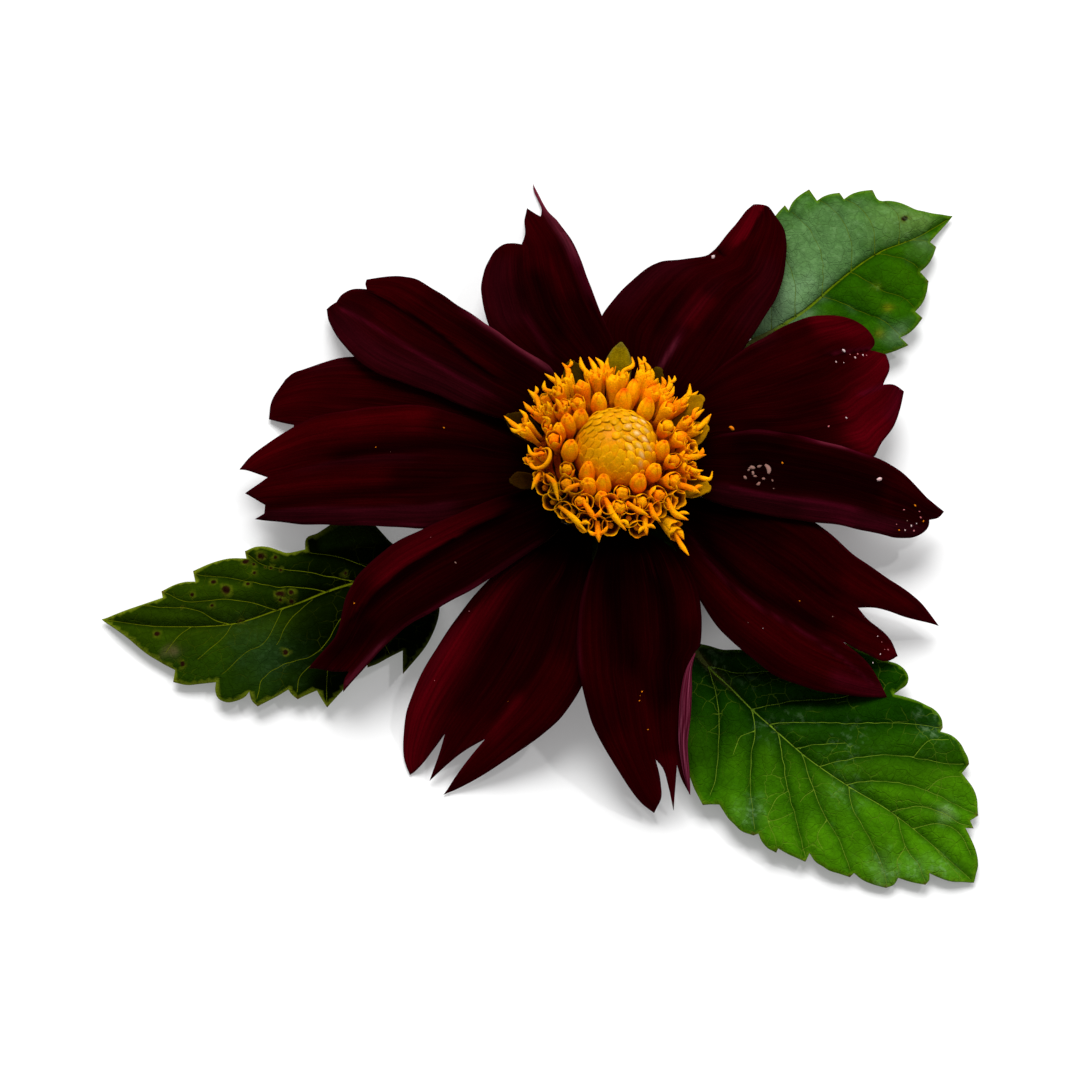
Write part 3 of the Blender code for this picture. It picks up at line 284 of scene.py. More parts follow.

# Side veins of each leaf, from the midrib to the margin, and colours of the leaf. Its pale patches and the sheen of its
# glints are painted reflections; its brown patches are stains.
LEAF_LOOKS = {
    "leaf_left": dict(
        veins=(((6, -1.1), (8.3, -2.7), (11.8, -4.4), (15.4, -5.7)),
               ((9.3, -0.8), (13, -1.7), (15.3, -2.6), (19, -3.5), (21.8, -4.9), (23.9, -6.8)),
               ((13.2, 0.2), (17.2, -0.7), (20.4, -1.1), (23.7, -2.3), (27, -3.6), (30.6, -4.6)),
               ((20.3, 2.1), (22.4, 1.3), (24.6, 0.4), (27.2, -0.2), (29.2, -0.4), (31.6, -0.5), (35, -2.3)),
               ((26.9, 3.1), (28.8, 2.3), (30.7, 1), (32.3, 0.3), (36, -0.5), (39, -1.2))),
        fine=(((19.9, 2.2), (21, 4.7), (22.1, 6.4), (23.2, 7.3), (25.1, 8), (28.5, 10.5)),
              ((26.6, 3.4), (27.7, 5.2), (29.1, 6.3), (31.5, 8)), ((15.8, 1.3), (17.5, 2.8), (19, 4.2), (21, 7.4)),
              ((8.5, -0.6), (12.5, 5), (16.8, 9.6), (19.5, 10), (21.6, 10.8), (23.3, 12), (24.2, 14.6)),
              ((11, 3.1), (15.3, 10.3), (17, 11), (18.4, 12.3), (19, 14.4)), ((9, 1.5), (12.5, 7), (14.7, 11.6), (15.2, 16)),
              ((4.5, -1), (6.5, 3), (7.2, 8), (5.5, 12.5)), ((32, 2.9), (34, 4.6), (35.5, 6.5))),
        green=(0.0066, 0.0170, 0.0003), light=(0.0190, 0.040, 0.0004), dark=(0.0026, 0.0075, 0.0003), vein=(0.100, 0.125, 0.002),
        midrib=0.27, side=0.060, brown=0.0, net=0.12, glint=0.30, shade=0.45,
        rim=(0.15, 0.19, 0.008), rim_width=0.17, veil=1.0, sheen=(0.030, 0.060, 0.022),
        spots=((27, -1.5, 0.9), (28.5, -3, 0.55), (29, 0.5, 0.5), (20, 0, 0.8), (18.5, 0, 0.6), (18.5, 1, 0.5),
               (20, 0.8, 0.4), (25.5, 3, 0.5), (22, -6, 0.8), (24, -5.5, 0.7), (23, -5, 0.45), (20.8, -4, 0.45),
               (19.5, -3.5, 0.4), (21.5, -4.3, 0.3), (20, -5.5, 0.4), (23, -3.5, 0.4), (24, -2, 0.4),
               (31.5, -1.5, 0.45), (36.5, 3.5, 0.6), (36, 8, 0.6), (20, 8.5, 0.55), (33.5, 8.3, 0.5), (11, -2, 0.4),
               (33, 0, 0.3), (38, -2, 0.5), (33.5, -3.5, 0.4)),
        sheen_and_stain_patches=(((22, 9), 3.2, (0.015, 0.034, 0.006), 0.5), ((25, 5), 2.4, (0.014, 0.032, 0.004), 0.4),
                 ((34.5, 6.5), 0.7, (0.10, 0.07, 0.02), 0.8))),
    "leaf_lower_right": dict(
        veins=(((3.5, -1.3), (5.7, -2.8), (8.1, -4.7), (10.1, -6.7), (12.9, -10.1), (14.5, -12.5), (15.6, -14.8)),
               ((11.5, -1.9), (14.2, -4.3), (16.2, -7.3), (18.5, -10.1), (20.8, -12.4), (23, -14.5)),
               ((16.2, -2.1), (20, -5.3), (22.4, -7.3), (25.8, -9.6), (28, -11.3), (30.1, -12.8)),
               ((20.4, -2.2), (24.6, -5), (28.3, -6.9), (31.2, -7.8), (33.9, -9.2), (35.8, -10.5)),
               ((27.9, -1.6), (29.9, -3.4), (33.1, -4.8), (35.5, -5.7), (37.9, -6.7), (40, -8.3)),
               ((35.1, -0.4), (37.9, -2.5), (38.8, -3.1), (41.4, -3.7), (43.6, -4.9)),
               ((3, -1.2), (7.3, 0.7), (9.5, 3), (12, 7)), ((11.6, -1.8), (15.6, 3.1), (19.8, 8), (22, 12)),
               ((14.6, -2), (19.1, 2), (23.4, 6.1), (27.8, 10.1), (31.3, 12.5)), ((19.3, -2.2), (21.7, 0.3), (23.9, 2.4)),
               ((23.3, -2), (26.6, 2.3), (28.6, 4.8), (31.7, 7.3), (34.8, 9.2), (37.2, 11.3)),
               ((27.5, -1.6), (30.1, 1.2), (33, 3.3), (35.8, 4.8), (39.1, 5.7), (42.6, 6.7)),
               ((34.1, -0.5), (36.6, 2.5), (38.8, 3.6), (41.8, 4.3), (43.2, 5)),
               ((37.6, -0.3), (40.2, 2.6), (42.2, 3.2), (43.7, 2.9), (45.5, 1.9))),
        fine=(((22.7, -7.6), (22.3, -9.4), (22.8, -11.1), (23.6, -12.6), (25.5, -13.6), (26.8, -14.6)),
              ((25.1, -5.4), (24.9, -6.8), (24.9, -7.7)), ((28.9, -7.2), (29.6, -9.8), (31.1, -10.6)),
              ((38.7, -3.1), (39.4, -5.4), (40.6, -6.5)), ((41.2, -0.3), (45.1, -1.2), (47.1, -1.4)),
              ((31.5, 7.3), (31.6, 9.9), (33.4, 12)), ((35.8, 4.8), (36, 7), (37.7, 9.3)), ((14, -4.2), (13.3, -6.5), (14.2, -8.5)),
              ((23.6, -12.6), (24.6, -11), (25, -9.4))),
        green=(0.0100, 0.0420, 0.0004), light=(0.0300, 0.098, 0.0012), dark=(0.0035, 0.018, 0.0004), vein=(0.130, 0.225, 0.014),
        midrib=0.18, side=0.058, brown=0.85, net=0.30, glint=0.42, shade=1.0,
        rim=(0.08, 0.17, 0.004), rim_width=0.14, spots=(), veil=0.16, sheen=(0.19, 0.30, 0.15),
        sheen_and_stain_patches=(((39.5, -8), 1.2, (0.12, 0.22, 0.08), 0.8), ((38, -7), 1.4, (0.12, 0.22, 0.08), 0.55),
                 ((41.5, -4.5), 1.3, (0.10, 0.20, 0.07), 0.6), ((44, -2.5), 1.6, (0.12, 0.22, 0.06), 0.5),
                 ((31, 12), 1.5, (0.14, 0.26, 0.11), 0.75), ((21, -13), 1.6, (0.10, 0.19, 0.08), 0.5),
                 ((9, 0.8), 1.3, (0.05, 0.12, 0.05), 0.25), ((16.5, 1), 1.6, (0.05, 0.12, 0.05), 0.28),
                 ((15, -2.8), 1.6, (0.05, 0.12, 0.045), 0.28), ((39.5, 4), 0.9, (0.25, 0.33, 0.18), 0.8),
                 ((28, -2.8), 2.0, (0.06, 0.13, 0.05), 0.3), ((24, 3), 2.2, (0.05, 0.12, 0.04), 0.25),
                 ((1, -0.4), 2.4, (0.06, 0.045, 0.012), 0.6), ((5, -0.6), 1.2, (0.06, 0.05, 0.012), 0.5))),
    "leaf_upper_right": dict(
        veins=(((7, -0.5), (10.5, 4.5), (12, 10), (12.2, 12)), ((12, 0), (15.5, 4.5), (17, 9.5), (16.6, 13.2)),
               ((17.5, 0.6), (20.5, 4.5), (21.8, 9), (21, 13)), ((22, 1), (24.6, 5), (25, 8.5), (24.2, 10.6)),
               ((26, 0.7), (28.5, 4), (28.6, 7)), ((3, -0.4), (6, 4), (7.5, 9.5)),
               ((5, -0.5), (8.5, -5), (10.8, -11)), ((12, 0), (14, -4.2), (16.5, -8.5), (16.9, -12)),
               ((17.5, 0.6), (19, -4), (21, -7), (21.3, -9.6)), ((22.5, 1), (25, -2.5), (25.7, -5.4)),
               ((27, 0.5), (29, -1), (29.7, -2.3)), ((2, -0.4), (4.5, -4), (4.6, -7.5))),
        fine=(),
        green=(0.0100, 0.0500, 0.0003), light=(0.026, 0.092, 0.0006), dark=(0.0045, 0.024, 0.0003), vein=(0.085, 0.130, 0.001),
        midrib=0.34, side=0.050, brown=0.0, net=0.08, glint=0.30, shade=1.0,
        rim=(0.07, 0.15, 0.004), rim_width=0.18, veil=1.0, sheen=(0.125, 0.22, 0.090), spots=((29, 3.2, 0.7), (7.5, 8.5, 0.7), (12.5, 9, 0.4)),
        sheen_and_stain_patches=(((9.5, 3), 4.5, (0.120, 0.215, 0.098), 0.95), ((3.5, 1.5), 4.0, (0.125, 0.215, 0.105), 0.95), ((16, 5), 5.0, (0.074, 0.158, 0.050), 0.95),
                 ((21, 7), 4.5, (0.066, 0.150, 0.042), 0.95), ((13, 9), 4.0, (0.068, 0.148, 0.044), 0.85),
                 ((27, 4), 3.4, (0.075, 0.160, 0.036), 0.85), ((31, 2.4), 2.4, (0.110, 0.200, 0.040), 0.7),
                 ((16.5, -11), 1.4, (0.08, 0.14, 0.06), 0.6), ((28.5, -1.8), 1.6, (0.07, 0.13, 0.04), 0.5),
                 ((18, -7), 0.5, (0.16, 0.14, 0.004), 0.5), ((14.5, -9.5), 0.5, (0.15, 0.12, 0.004), 0.4),
                 ((19, -3.5), 0.5, (0.09, 0.16, 0.004), 0.5))),
}

# Disc: whorls of disc florets as in the design, and the scales at its rim
FLORET_RINGS = ((15, 5.9, 15.80, 7.6, 20.2), (18, 6.9, 15.65, 9.5, 19.9), (21, 7.8, 15.40, 11.4, 19.2),
                (24, 8.7, 15.10, 13.3, 18.1))
PALEAE = ((83, 16.2), (109, 14.6), (61, 14.6), (33, 15.2), (17, 14.0), (339, 14.4), (196, 13.2), (157, 14.4))


# ----------------------------------------------------------------------------
# curves and outlines
# ----------------------------------------------------------------------------
def smooth(x):
    x = np.clip(x, 0.0, 1.0)
    return x * x * (3.0 - 2.0 * x)


def soft_floor(z, least, blend=0.8):
    d = (z - least) / blend
    return np.where(d > 6.0, z, least + blend * np.log1p(np.exp(3.0 * np.minimum(d, 6.0))) / 3.0)


class Curve1D:
    """Monotone cubic through points (x, y): no overshoot between them."""

    def __init__(self, pts):
        self.x = np.array([p[0] for p in pts], float)
        self.y = np.array([p[1] for p in pts], float)
        h, dlt = np.diff(self.x), np.diff(self.y) / np.diff(self.x)
        m = np.zeros_like(self.x)
        m[0], m[-1] = dlt[0], dlt[-1]
        for i in range(1, len(m) - 1):
            if dlt[i - 1] * dlt[i] > 0:
                w1, w2 = 2 * h[i] + h[i - 1], h[i] + 2 * h[i - 1]
                m[i] = (w1 + w2) / (w1 / dlt[i - 1] + w2 / dlt[i])
        self.h, self.m = h, m

    def __call__(self, x):
        x = np.asarray(x, float)
        i = np.clip(np.searchsorted(self.x, x) - 1, 0, len(self.h) - 1)
        h = self.h[i]
        t = (x - self.x[i]) / h
        return ((2 * t**3 - 3 * t**2 + 1) * self.y[i] + (t**3 - 2 * t**2 + t) * h * self.m[i]
                + (3 * t**2 - 2 * t**3) * self.y[i + 1] + (t**3 - t**2) * h * self.m[i + 1])


def unit(v):
    v = np.asarray(v, float)
    return v / max(np.linalg.norm(v), 1e-12)


def flowing(pts, step, corner=60.0, closed=False, sharp=None):
    """A smooth line through pts, left sharp where it turns by more than corner degrees or where sharp says so."""
    p = [np.array(q, float) for q in pts]
    n = len(p)
    leave, arrive = [None] * n, [None] * n
    for i in range(n):
        before, after = p[i - 1] if i or closed else None, p[(i + 1) % n] if i < n - 1 or closed else None
        if before is None:
            leave[i] = arrive[i] = unit(after - p[i])
        elif after is None:
            leave[i] = arrive[i] = unit(p[i] - before)
        else:
            a, b = p[i] - before, after - p[i]
            la, lb = np.linalg.norm(a), np.linalg.norm(b)
            turn = math.degrees(math.acos(float(np.clip(np.dot(a, b) / (la * lb), -1, 1))))
            if turn > corner or sharp is not None and sharp[i]:
                arrive[i], leave[i] = a / la, b / lb
            else:
                leave[i] = arrive[i] = unit(a / la * lb + b / lb * la)
    out = []
    for i in range(n if closed else n - 1):
        a, b = p[i], p[(i + 1) % n]
        run = np.linalg.norm(b - a)
        m0, m1 = leave[i] * run, arrive[(i + 1) % n] * run
        k = max(1, int(math.ceil(run / step)))
        for j in range(k):
            t = j / k
            out.append(tuple((2 * t**3 - 3 * t**2 + 1) * a + (t**3 - 2 * t**2 + t) * m0
                             + (3 * t**2 - 2 * t**3) * b + (t**3 - t**2) * m1))
    if not closed:
        out.append(tuple(p[-1]))
    return out


def away(p, line, closed=False):
    """How far each point of p is from the line, and how far along the line it is, from 0 to 1."""
    d, along, _, size = beside(p, line, closed)
    return d, along / size


def beside(p, line, closed=False):
    """Distance of each point of p from the line, millimetres along it, and which side of it (positive: left)."""
    line = np.asarray(line, float)
    ends = np.roll(line, -1, axis=0) if closed else line[1:]
    starts = line if closed else line[:-1]
    best = np.full(len(p), 1e9)
    along = np.zeros(len(p))
    hand = np.zeros(len(p))
    run = 0.0
    for a, b in zip(starts, ends):
        d = b - a
        size = float(np.hypot(*d)) + 1e-12
        f = np.clip(((p - a) @ d) / (size * size), 0.0, 1.0)
        off = p - a - f[:, None] * d
        dist = np.hypot(off[:, 0], off[:, 1])
        near = dist < best
        best = np.where(near, dist, best)
        along = np.where(near, run + f * size, along)
        hand = np.where(near, d[0] * (p[:, 1] - a[1]) - d[1] * (p[:, 0] - a[0]), hand)
        run += size
    return best, along, np.sign(hand), run


def inside(p, loop):
    """Whether each point of p lies inside the closed outline loop."""
    loop = np.asarray(loop, float)
    nxt = np.roll(loop, -1, axis=0)
    odd = np.zeros(len(p), bool)
    x, y = p[:, 0], p[:, 1]
    for (x1, y1), (x2, y2) in zip(loop, nxt):
        if y1 == y2:
            continue
        cross = ((y1 > y) != (y2 > y)) & (x < (x2 - x1) * (y - y1) / (y2 - y1) + x1)
        odd ^= cross
    return odd


def ripple(x, y, seed, size):
    """Smooth irregular waves between about -1 and 1, with that wavelength."""
    rng = np.random.default_rng(seed)
    z = np.zeros(np.broadcast(x, y).shape)
    for _ in range(6):
        a, ph, k = rng.uniform(0, 2 * math.pi), rng.uniform(0, 2 * math.pi), rng.uniform(0.6, 1.5)
        z = z + np.sin((np.cos(a) * x + np.sin(a) * y) * 2 * math.pi * k / size + ph)
    return z / 3.0


def mesh_flat(loop, inner, lines=()):
    """Triangles of the flat outline with inner points and lines kept as edges: points, faces, ring of outline vertices."""
    pts = [Vector(q) for q in loop] + [Vector(q) for q in inner]
    n = len(loop)
    edges = [(i, (i + 1) % n) for i in range(n)]
    for line in lines:
        at = len(pts)
        pts += [Vector(q) for q in line]
        edges += [(at + i, at + i + 1) for i in range(len(line) - 1)]
    out, _, faces, orig, _, _ = delaunay_2d_cdt(pts, edges, [], 1, 1e-5)
    where = {}
    for i, olds in enumerate(orig):
        for k in olds:
            where[k] = i
    flat = np.array([(q.x, q.y) for q in out])
    tri = np.array([f for f in faces if len(f) == 3], int)
    a, b, c = flat[tri[:, 0]], flat[tri[:, 1]], flat[tri[:, 2]]
    area = (b[:, 0] - a[:, 0]) * (c[:, 1] - a[:, 1]) - (b[:, 1] - a[:, 1]) * (c[:, 0] - a[:, 0])
    tri[area < 0] = tri[area < 0][:, ::-1]
    ring = [where[i] for i in range(n)]
    ring = [r for i, r in enumerate(ring) if r != ring[i - 1]]
    return flat, tri, ring


def normals_of(co, tri):
    face = np.cross(co[tri[:, 1]] - co[tri[:, 0]], co[tri[:, 2]] - co[tri[:, 0]])
    n = np.zeros_like(co)
    for k in range(3):
        np.add.at(n, tri[:, k], face)
    return n / np.maximum(np.linalg.norm(n, axis=1, keepdims=True), 1e-12)


def mix(a, b, f):
    f = np.asarray(f, float)[..., None]
    return np.asarray(a, float) * (1 - f) + np.asarray(b, float) * f


# ----------------------------------------------------------------------------
# pieces
# ----------------------------------------------------------------------------
class Shape:
    """Vertices in design millimetres, faces, colours and grain of a piece being put together."""

    def __init__(self):
        self.co, self.faces, self.tint, self.grain, self.marks, self.count = [], [], [], [], [], 0

    def add(self, co, faces, tint, grain=None, marks=None):
        co = np.asarray(co, float).reshape(-1, 3)
        n = len(co)
        self.co.append(co)
        self.tint.append(np.broadcast_to(np.asarray(tint, float), (n, 3)))
        self.grain.append(co if grain is None else np.broadcast_to(np.asarray(grain, float), (n, 3)))
        self.marks.append(np.broadcast_to(np.asarray((9.0, 0.0, 0.0) if marks is None else marks, float), (n, 3)))
        at = self.count
        self.faces += [tuple(int(i) + at for i in f) for f in faces]
        self.count += n

    def sheet(self, co, tri, ring, thick, top, under, grain, marks=(9.0, 0.0, 0.0), dents=0.0):
        """A blade around its middle surface, thick at each point, with its own colours above and below."""
        nrm = normals_of(co, tri)
        half = 0.5 * np.asarray(thick, float)[:, None]
        n = len(co)
        up, down = co + nrm * half, co - nrm * (half + np.asarray(dents, float).reshape(-1, 1))
        faces = [tuple(f) for f in tri] + [tuple(f + n) for f in tri[:, ::-1]]
        for a, b in zip(ring, ring[1:] + ring[:1]):
            faces.append((a, a + n, b + n, b))
        m = np.broadcast_to(np.asarray(marks, float), (n, 3))
        below = m.copy()
        below[:, 2] = 1.0
        self.add(np.vstack((up, down)), faces, np.vstack((np.broadcast_to(top, (n, 3)), np.broadcast_to(under, (n, 3)))),
                 np.vstack((grain, grain)), np.vstack((m, below)))

    def rings(self, rows, tints, caps=True, grain=None):
        """A closed skin over rows of points, each row a ring of the same number of points."""
        k, n = len(rows), len(rows[0])
        co = np.vstack(rows)
        tint = np.vstack([np.broadcast_to(np.asarray(t, float), (n, 3)) for t in tints])
        faces = []
        for i in range(k - 1):
            for j in range(n):
                a, b = i * n + j, i * n + (j + 1) % n
                faces.append((a, b, b + n, a + n))
        if caps:
            first, last = rows[0].mean(axis=0), rows[-1].mean(axis=0)
            co = np.vstack((co, first, last))
            tint = np.vstack((tint, tint[0], tint[-1]))
            for j in range(n):
                faces.append(((j + 1) % n, j, k * n))
                faces.append(((k - 1) * n + j, (k - 1) * n + (j + 1) % n, k * n + 1))
        self.add(co, faces, tint, grain)

    def piece(self, name, mat, nodes=()):
        co = np.vstack(self.co)
        co = (co + np.array((AXIS_AT[0], AXIS_AT[1], 0.0))) * MM
        mesh = bpy.data.meshes.new(name)
        mesh.from_pydata(co.tolist(), [], self.faces)
        mesh.validate()
        tint = np.hstack((np.vstack(self.tint), np.ones((len(co), 1))))
        if len(mesh.vertices) != len(co):
            raise RuntimeError("vertices of %s were lost" % name)
        layer = mesh.attributes.new("tint", "FLOAT_COLOR", "POINT")
        layer.data.foreach_set("color", tint.astype(np.float32).ravel())
        for key, rows in (("grain", self.grain), ("marks", self.marks)):
            layer = mesh.attributes.new(key, "FLOAT_VECTOR", "POINT")
            layer.data.foreach_set("vector", np.vstack(rows).astype(np.float32).ravel())
        mesh.shade_smooth()
        mesh.update()
        ob = bpy.data.objects.new(name, mesh)
        bpy.context.scene.collection.objects.link(ob)
        mesh.materials.append(mat)
        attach(ob, "root")
        if nodes:
            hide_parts(*nodes)
        return ob


def axes_for(direction, twist=0.0):
    """Two directions square to direction, turned about it by twist."""
    z = unit(direction)
    ref = np.array((0.0, 0.0, 1.0)) if abs(z[2]) < 0.95 else np.array((1.0, 0.0, 0.0))
    x = unit(np.cross(ref, z))
    y = np.cross(z, x)
    c, s = math.cos(twist), math.sin(twist)
    return x * c + y * s, y * c - x * s, z


def rod(shape, points, radii, tints, sides=8, lobes=0, depth=0.0, flat=1.0):
    """A round rod along points, with ridges along it when lobes is given."""
    pts = [np.array(p, float) for p in points]
    x = None
    rows = []
    ang = np.arange(sides) * 2 * math.pi / sides
    for i, (p, r) in enumerate(zip(pts, radii)):
        t = unit(pts[min(i + 1, len(pts) - 1)] - pts[max(i - 1, 0)])
        if x is None:
            x, y, _ = axes_for(t)
        else:
            x = unit(x - t * np.dot(x, t))
            y = np.cross(t, x)
        rr = r * (1 + depth * np.cos(lobes * ang)) if lobes else np.full(sides, r)
        rows.append(p + np.outer(rr * np.cos(ang), x) + np.outer(rr * np.sin(ang) * flat, y))
    shape.rings(rows, tints)


# ----------------------------------------------------------------------------
# materials
# ----------------------------------------------------------------------------
class Look:
    """A node material being put together."""

    def __init__(self, name, **surface):
        self.mat = bpy.data.materials.new(name)
        self.mat.use_nodes = True
        self.tree = self.mat.node_tree
        self.bsdf = self.tree.nodes["Principled BSDF"]
        for key, value in surface.items():
            self.bsdf.inputs[key.replace("_", " ")].default_value = value

    def add(self, kind, inputs=None, out=0, **settings):
        n = self.tree.nodes.new("ShaderNode" + kind)
        for key, value in settings.items():
            setattr(n, key, value)
        for key, value in (inputs or {}).items():
            if isinstance(value, bpy.types.NodeSocket):
                self.tree.links.new(value, n.inputs[key])
            else:
                n.inputs[key].default_value = value
        return n.outputs[out]

    def attribute(self, name, out="Vector"):
        return self.add("Attribute", attribute_name=name, out=out)

    def part(self, vector, axis):
        return self.add("SeparateXYZ", {0: vector}, out=axis)

    def scaled(self, vector, by):
        return self.add("VectorMath", {0: vector, 1: by}, operation="MULTIPLY")

    def noise(self, vector, scale=1.0, detail=2.0, rough=0.5, distortion=0.0):
        return self.add("TexNoise", {"Vector": vector, "Scale": scale, "Detail": detail, "Roughness": rough,
                                     "Distortion": distortion})

    def calc(self, op, a, b=0.0, clamp=False):
        return self.add("Math", {0: a, 1: b}, operation=op, use_clamp=clamp)

    def span(self, value, a, b, c, d):
        """value from a..b to c..d, held at both ends."""
        return self.add("MapRange", {"Value": value, "From Min": a, "From Max": b, "To Min": c, "To Max": d})

    def soft_span(self, value, a, b, c, d):
        return self.add("MapRange", {"Value": value, "From Min": a, "From Max": b, "To Min": c, "To Max": d},
                        interpolation_type="SMOOTHSTEP")

    def blend(self, factor, a, b, how="MIX"):
        n = self.tree.nodes.new("ShaderNodeMix")
        n.data_type, n.blend_type = "RGBA", how
        for socket, value in ((n.inputs[0], factor), (n.inputs[6], a), (n.inputs[7], b)):
            if isinstance(value, bpy.types.NodeSocket):
                self.tree.links.new(value, socket)
            else:
                socket.default_value = value
        return n.outputs[2]

    def times(self, colour, value):
        """The colour made lighter or darker by value."""
        return self.add("VectorMath", {0: colour, "Scale": value}, operation="SCALE")

    def surface(self, **sockets):
        for key, value in sockets.items():
            self.tree.links.new(value, self.bsdf.inputs[key.replace("_", " ")])

    def bump(self, height, strength, distance, under=None):
        inputs = {"Strength": strength, "Distance": distance, "Height": height}
        if under is not None:
            inputs["Normal"] = under
        return self.add("Bump", inputs)


def petal_look(k):
    look = Look("petal_velvet_%02d" % k, Roughness=0.80, Specular_IOR_Level=0.0, Sheen_Weight=0.008, Sheen_Roughness=0.5,
                Sheen_Tint=(1.0, 0.02, 0.14, 1.0))
    tint, grain = look.attribute("tint", "Color"), look.attribute("grain")
    under = look.part(look.attribute("marks"), 2)
    hair = look.noise(look.scaled(grain, (0.10, 2.9, 1.0)), detail=3.0, rough=0.6)
    vein = look.noise(look.scaled(grain, (0.035, 0.95, 1.0)), detail=2.0)
    velvet = look.noise(look.scaled(grain, (3.4, 4.2, 1.0)), detail=2.0)
    cloud = look.noise(look.scaled(grain, (0.16, 0.22, 1.0)), detail=2.0)
    shade = look.calc("MULTIPLY", look.span(hair, 0.32, 0.68, 0.72, 1.24), look.span(vein, 0.34, 0.66, 0.80, 1.18))
    shade = look.calc("MULTIPLY", shade, look.span(velvet, 0.3, 0.7, 0.86, 1.12))
    shade = look.calc("MULTIPLY", shade, look.span(cloud, 0.3, 0.7, 0.88, 1.12))
    colour = look.times(tint, shade)
    streak = look.calc("MULTIPLY", look.soft_span(hair, 0.56, 0.74, 0.0, 0.16), look.soft_span(cloud, 0.45, 0.65, 0.2, 1.0))
    colour = look.blend(streak, colour, (0.032, 0.0006, 0.0024, 1.0))
    colour = look.blend(look.calc("MULTIPLY", under, look.soft_span(hair, 0.45, 0.62, 0.0, 0.45)), colour,
                        (0.095, 0.013, 0.025, 1.0))
    height = look.calc("ADD", look.calc("MULTIPLY", hair, 0.65), look.calc("MULTIPLY", vein, 0.9))
    height = look.calc("ADD", height, look.calc("MULTIPLY", velvet, 0.18))
    look.surface(Base_Color=colour, Normal=look.bump(height, 0.55, 0.00022))
    return look.mat


def leaf_look(name, rough, looks):
    look = Look(name, Specular_IOR_Level=0.0, Sheen_Weight=0.0)
    tint, grain, marks = look.attribute("tint", "Color"), look.attribute("grain"), look.attribute("marks")
    vein, gloss, under = look.part(marks, 0), look.part(marks, 1), look.part(marks, 2)
    wander = look.add("TexNoise", {"Vector": grain, "Scale": 0.55, "Detail": 2.0}, out=1)
    where = look.add("VectorMath", {0: wander, 1: (1.5, 1.5, 0.0), 2: grain}, operation="MULTIPLY_ADD")
    net = look.add("TexVoronoi", {"Vector": where, "Scale": 0.50}, feature="DISTANCE_TO_EDGE", voronoi_dimensions="2D")
    fine = look.add("TexVoronoi", {"Vector": where, "Scale": 1.5}, feature="DISTANCE_TO_EDGE", voronoi_dimensions="2D")
    cells = look.add("TexVoronoi", {"Vector": where, "Scale": 1.5}, feature="F1", voronoi_dimensions="2D", out="Color")
    net_line = look.soft_span(net, 0.008, 0.040, 1.0, 0.0)
    fine_line = look.soft_span(fine, 0.02, 0.11, 1.0, 0.0)
    main_line = look.soft_span(vein, 0.65, 1.5, 1.0, 0.0)
    near = look.soft_span(vein, 0.6, 12.0, 1.0, 0.0)
    patchy = look.noise(grain, scale=0.16, detail=3.0)
    mottled = look.noise(grain, scale=1.3, detail=3.0)
    shade = look.calc("MULTIPLY", look.span(patchy, 0.3, 0.7, 0.84, 1.16), look.span(mottled, 0.3, 0.7, 0.90, 1.10))
    shade = look.calc("MULTIPLY", shade, look.span(look.add("SeparateXYZ", {0: cells}), 0.0, 1.0, 0.93, 1.07))
    shade = look.calc("MULTIPLY", shade, look.span(fine_line, 0.0, 1.0, 1.0, 0.97))
    colour = look.times(tint, shade)
    broken = look.soft_span(look.noise(grain, scale=0.24, detail=1.0), 0.42, 0.62, 0.0, 1.0)
    pale = looks["vein"] + (1.0,)
    colour = look.blend(look.calc("MULTIPLY", look.calc("MULTIPLY", net_line, looks["net"]), broken), colour, pale)
    firm = look.span(look.noise(grain, scale=0.5, detail=1.0), 0.3, 0.7, 0.55, 1.0)
    colour = look.blend(look.calc("MULTIPLY", main_line, firm), colour, pale)
    # painted glints: whitish flecks in the glossy patches
    glint = look.soft_span(look.noise(grain, scale=1.3, detail=5.0), 0.50, 0.68, 0.0, looks["glint"])
    colour = look.blend(look.calc("MULTIPLY", glint, gloss), colour, looks["sheen"] + (1.0,))
    height = look.calc("ADD", look.calc("MULTIPLY", main_line, -0.8), look.calc("MULTIPLY", near, -0.5))
    height = look.calc("ADD", height, look.calc("MULTIPLY", net_line, -0.30))
    height = look.calc("ADD", height, look.calc("MULTIPLY", fine_line, -0.15))
    height = look.calc("ADD", height, look.calc("MULTIPLY", mottled, 0.8))
    height = look.calc("MULTIPLY", height, look.span(under, 0.0, 1.0, 1.0, -1.0))
    roughness = look.calc("ADD", look.span(gloss, 0.0, 1.0, rough, rough - 0.22), look.span(mottled, 0.3, 0.7, -0.06, 0.06))
    look.surface(Base_Color=colour, Roughness=roughness, Normal=look.bump(height, 0.7, 0.00035))
    return look.mat


def disc_look(name, rough, spec, coat, grainy=1.0, glow=0.05, varied=0.5):
    look = Look(name, Specular_IOR_Level=spec, Coat_Weight=coat, Coat_Roughness=0.12, Subsurface_Weight=glow,
                Subsurface_Radius=(0.0006, 0.00025, 0.00005), Subsurface_Scale=1.0)
    tint, grain = look.attribute("tint", "Color"), look.attribute("grain")
    soft = look.noise(grain, scale=0.9, detail=3.0)
    fine = look.noise(grain, scale=5.0, detail=4.0, rough=0.6)
    broad = look.noise(grain, scale=0.45, detail=2.0)
    colour = look.times(tint, look.calc("MULTIPLY", look.span(soft, 0.3, 0.7, 0.84, 1.16), look.span(fine, 0.3, 0.7, 0.80, 1.16)))
    orange = look.add("VectorMath", {0: colour, 1: (0.95, 0.52, 0.5)}, operation="MULTIPLY")
    colour = look.blend(look.calc("MULTIPLY", look.soft_span(broad, 0.46, 0.64, 0.0, 1.0), varied), colour, orange)
    look.surface(Base_Color=colour, Roughness=look.span(fine, 0.3, 0.7, rough - 0.06, rough + 0.08),
                 Normal=look.bump(fine, 0.5 * grainy, 0.00025))
    return look.mat


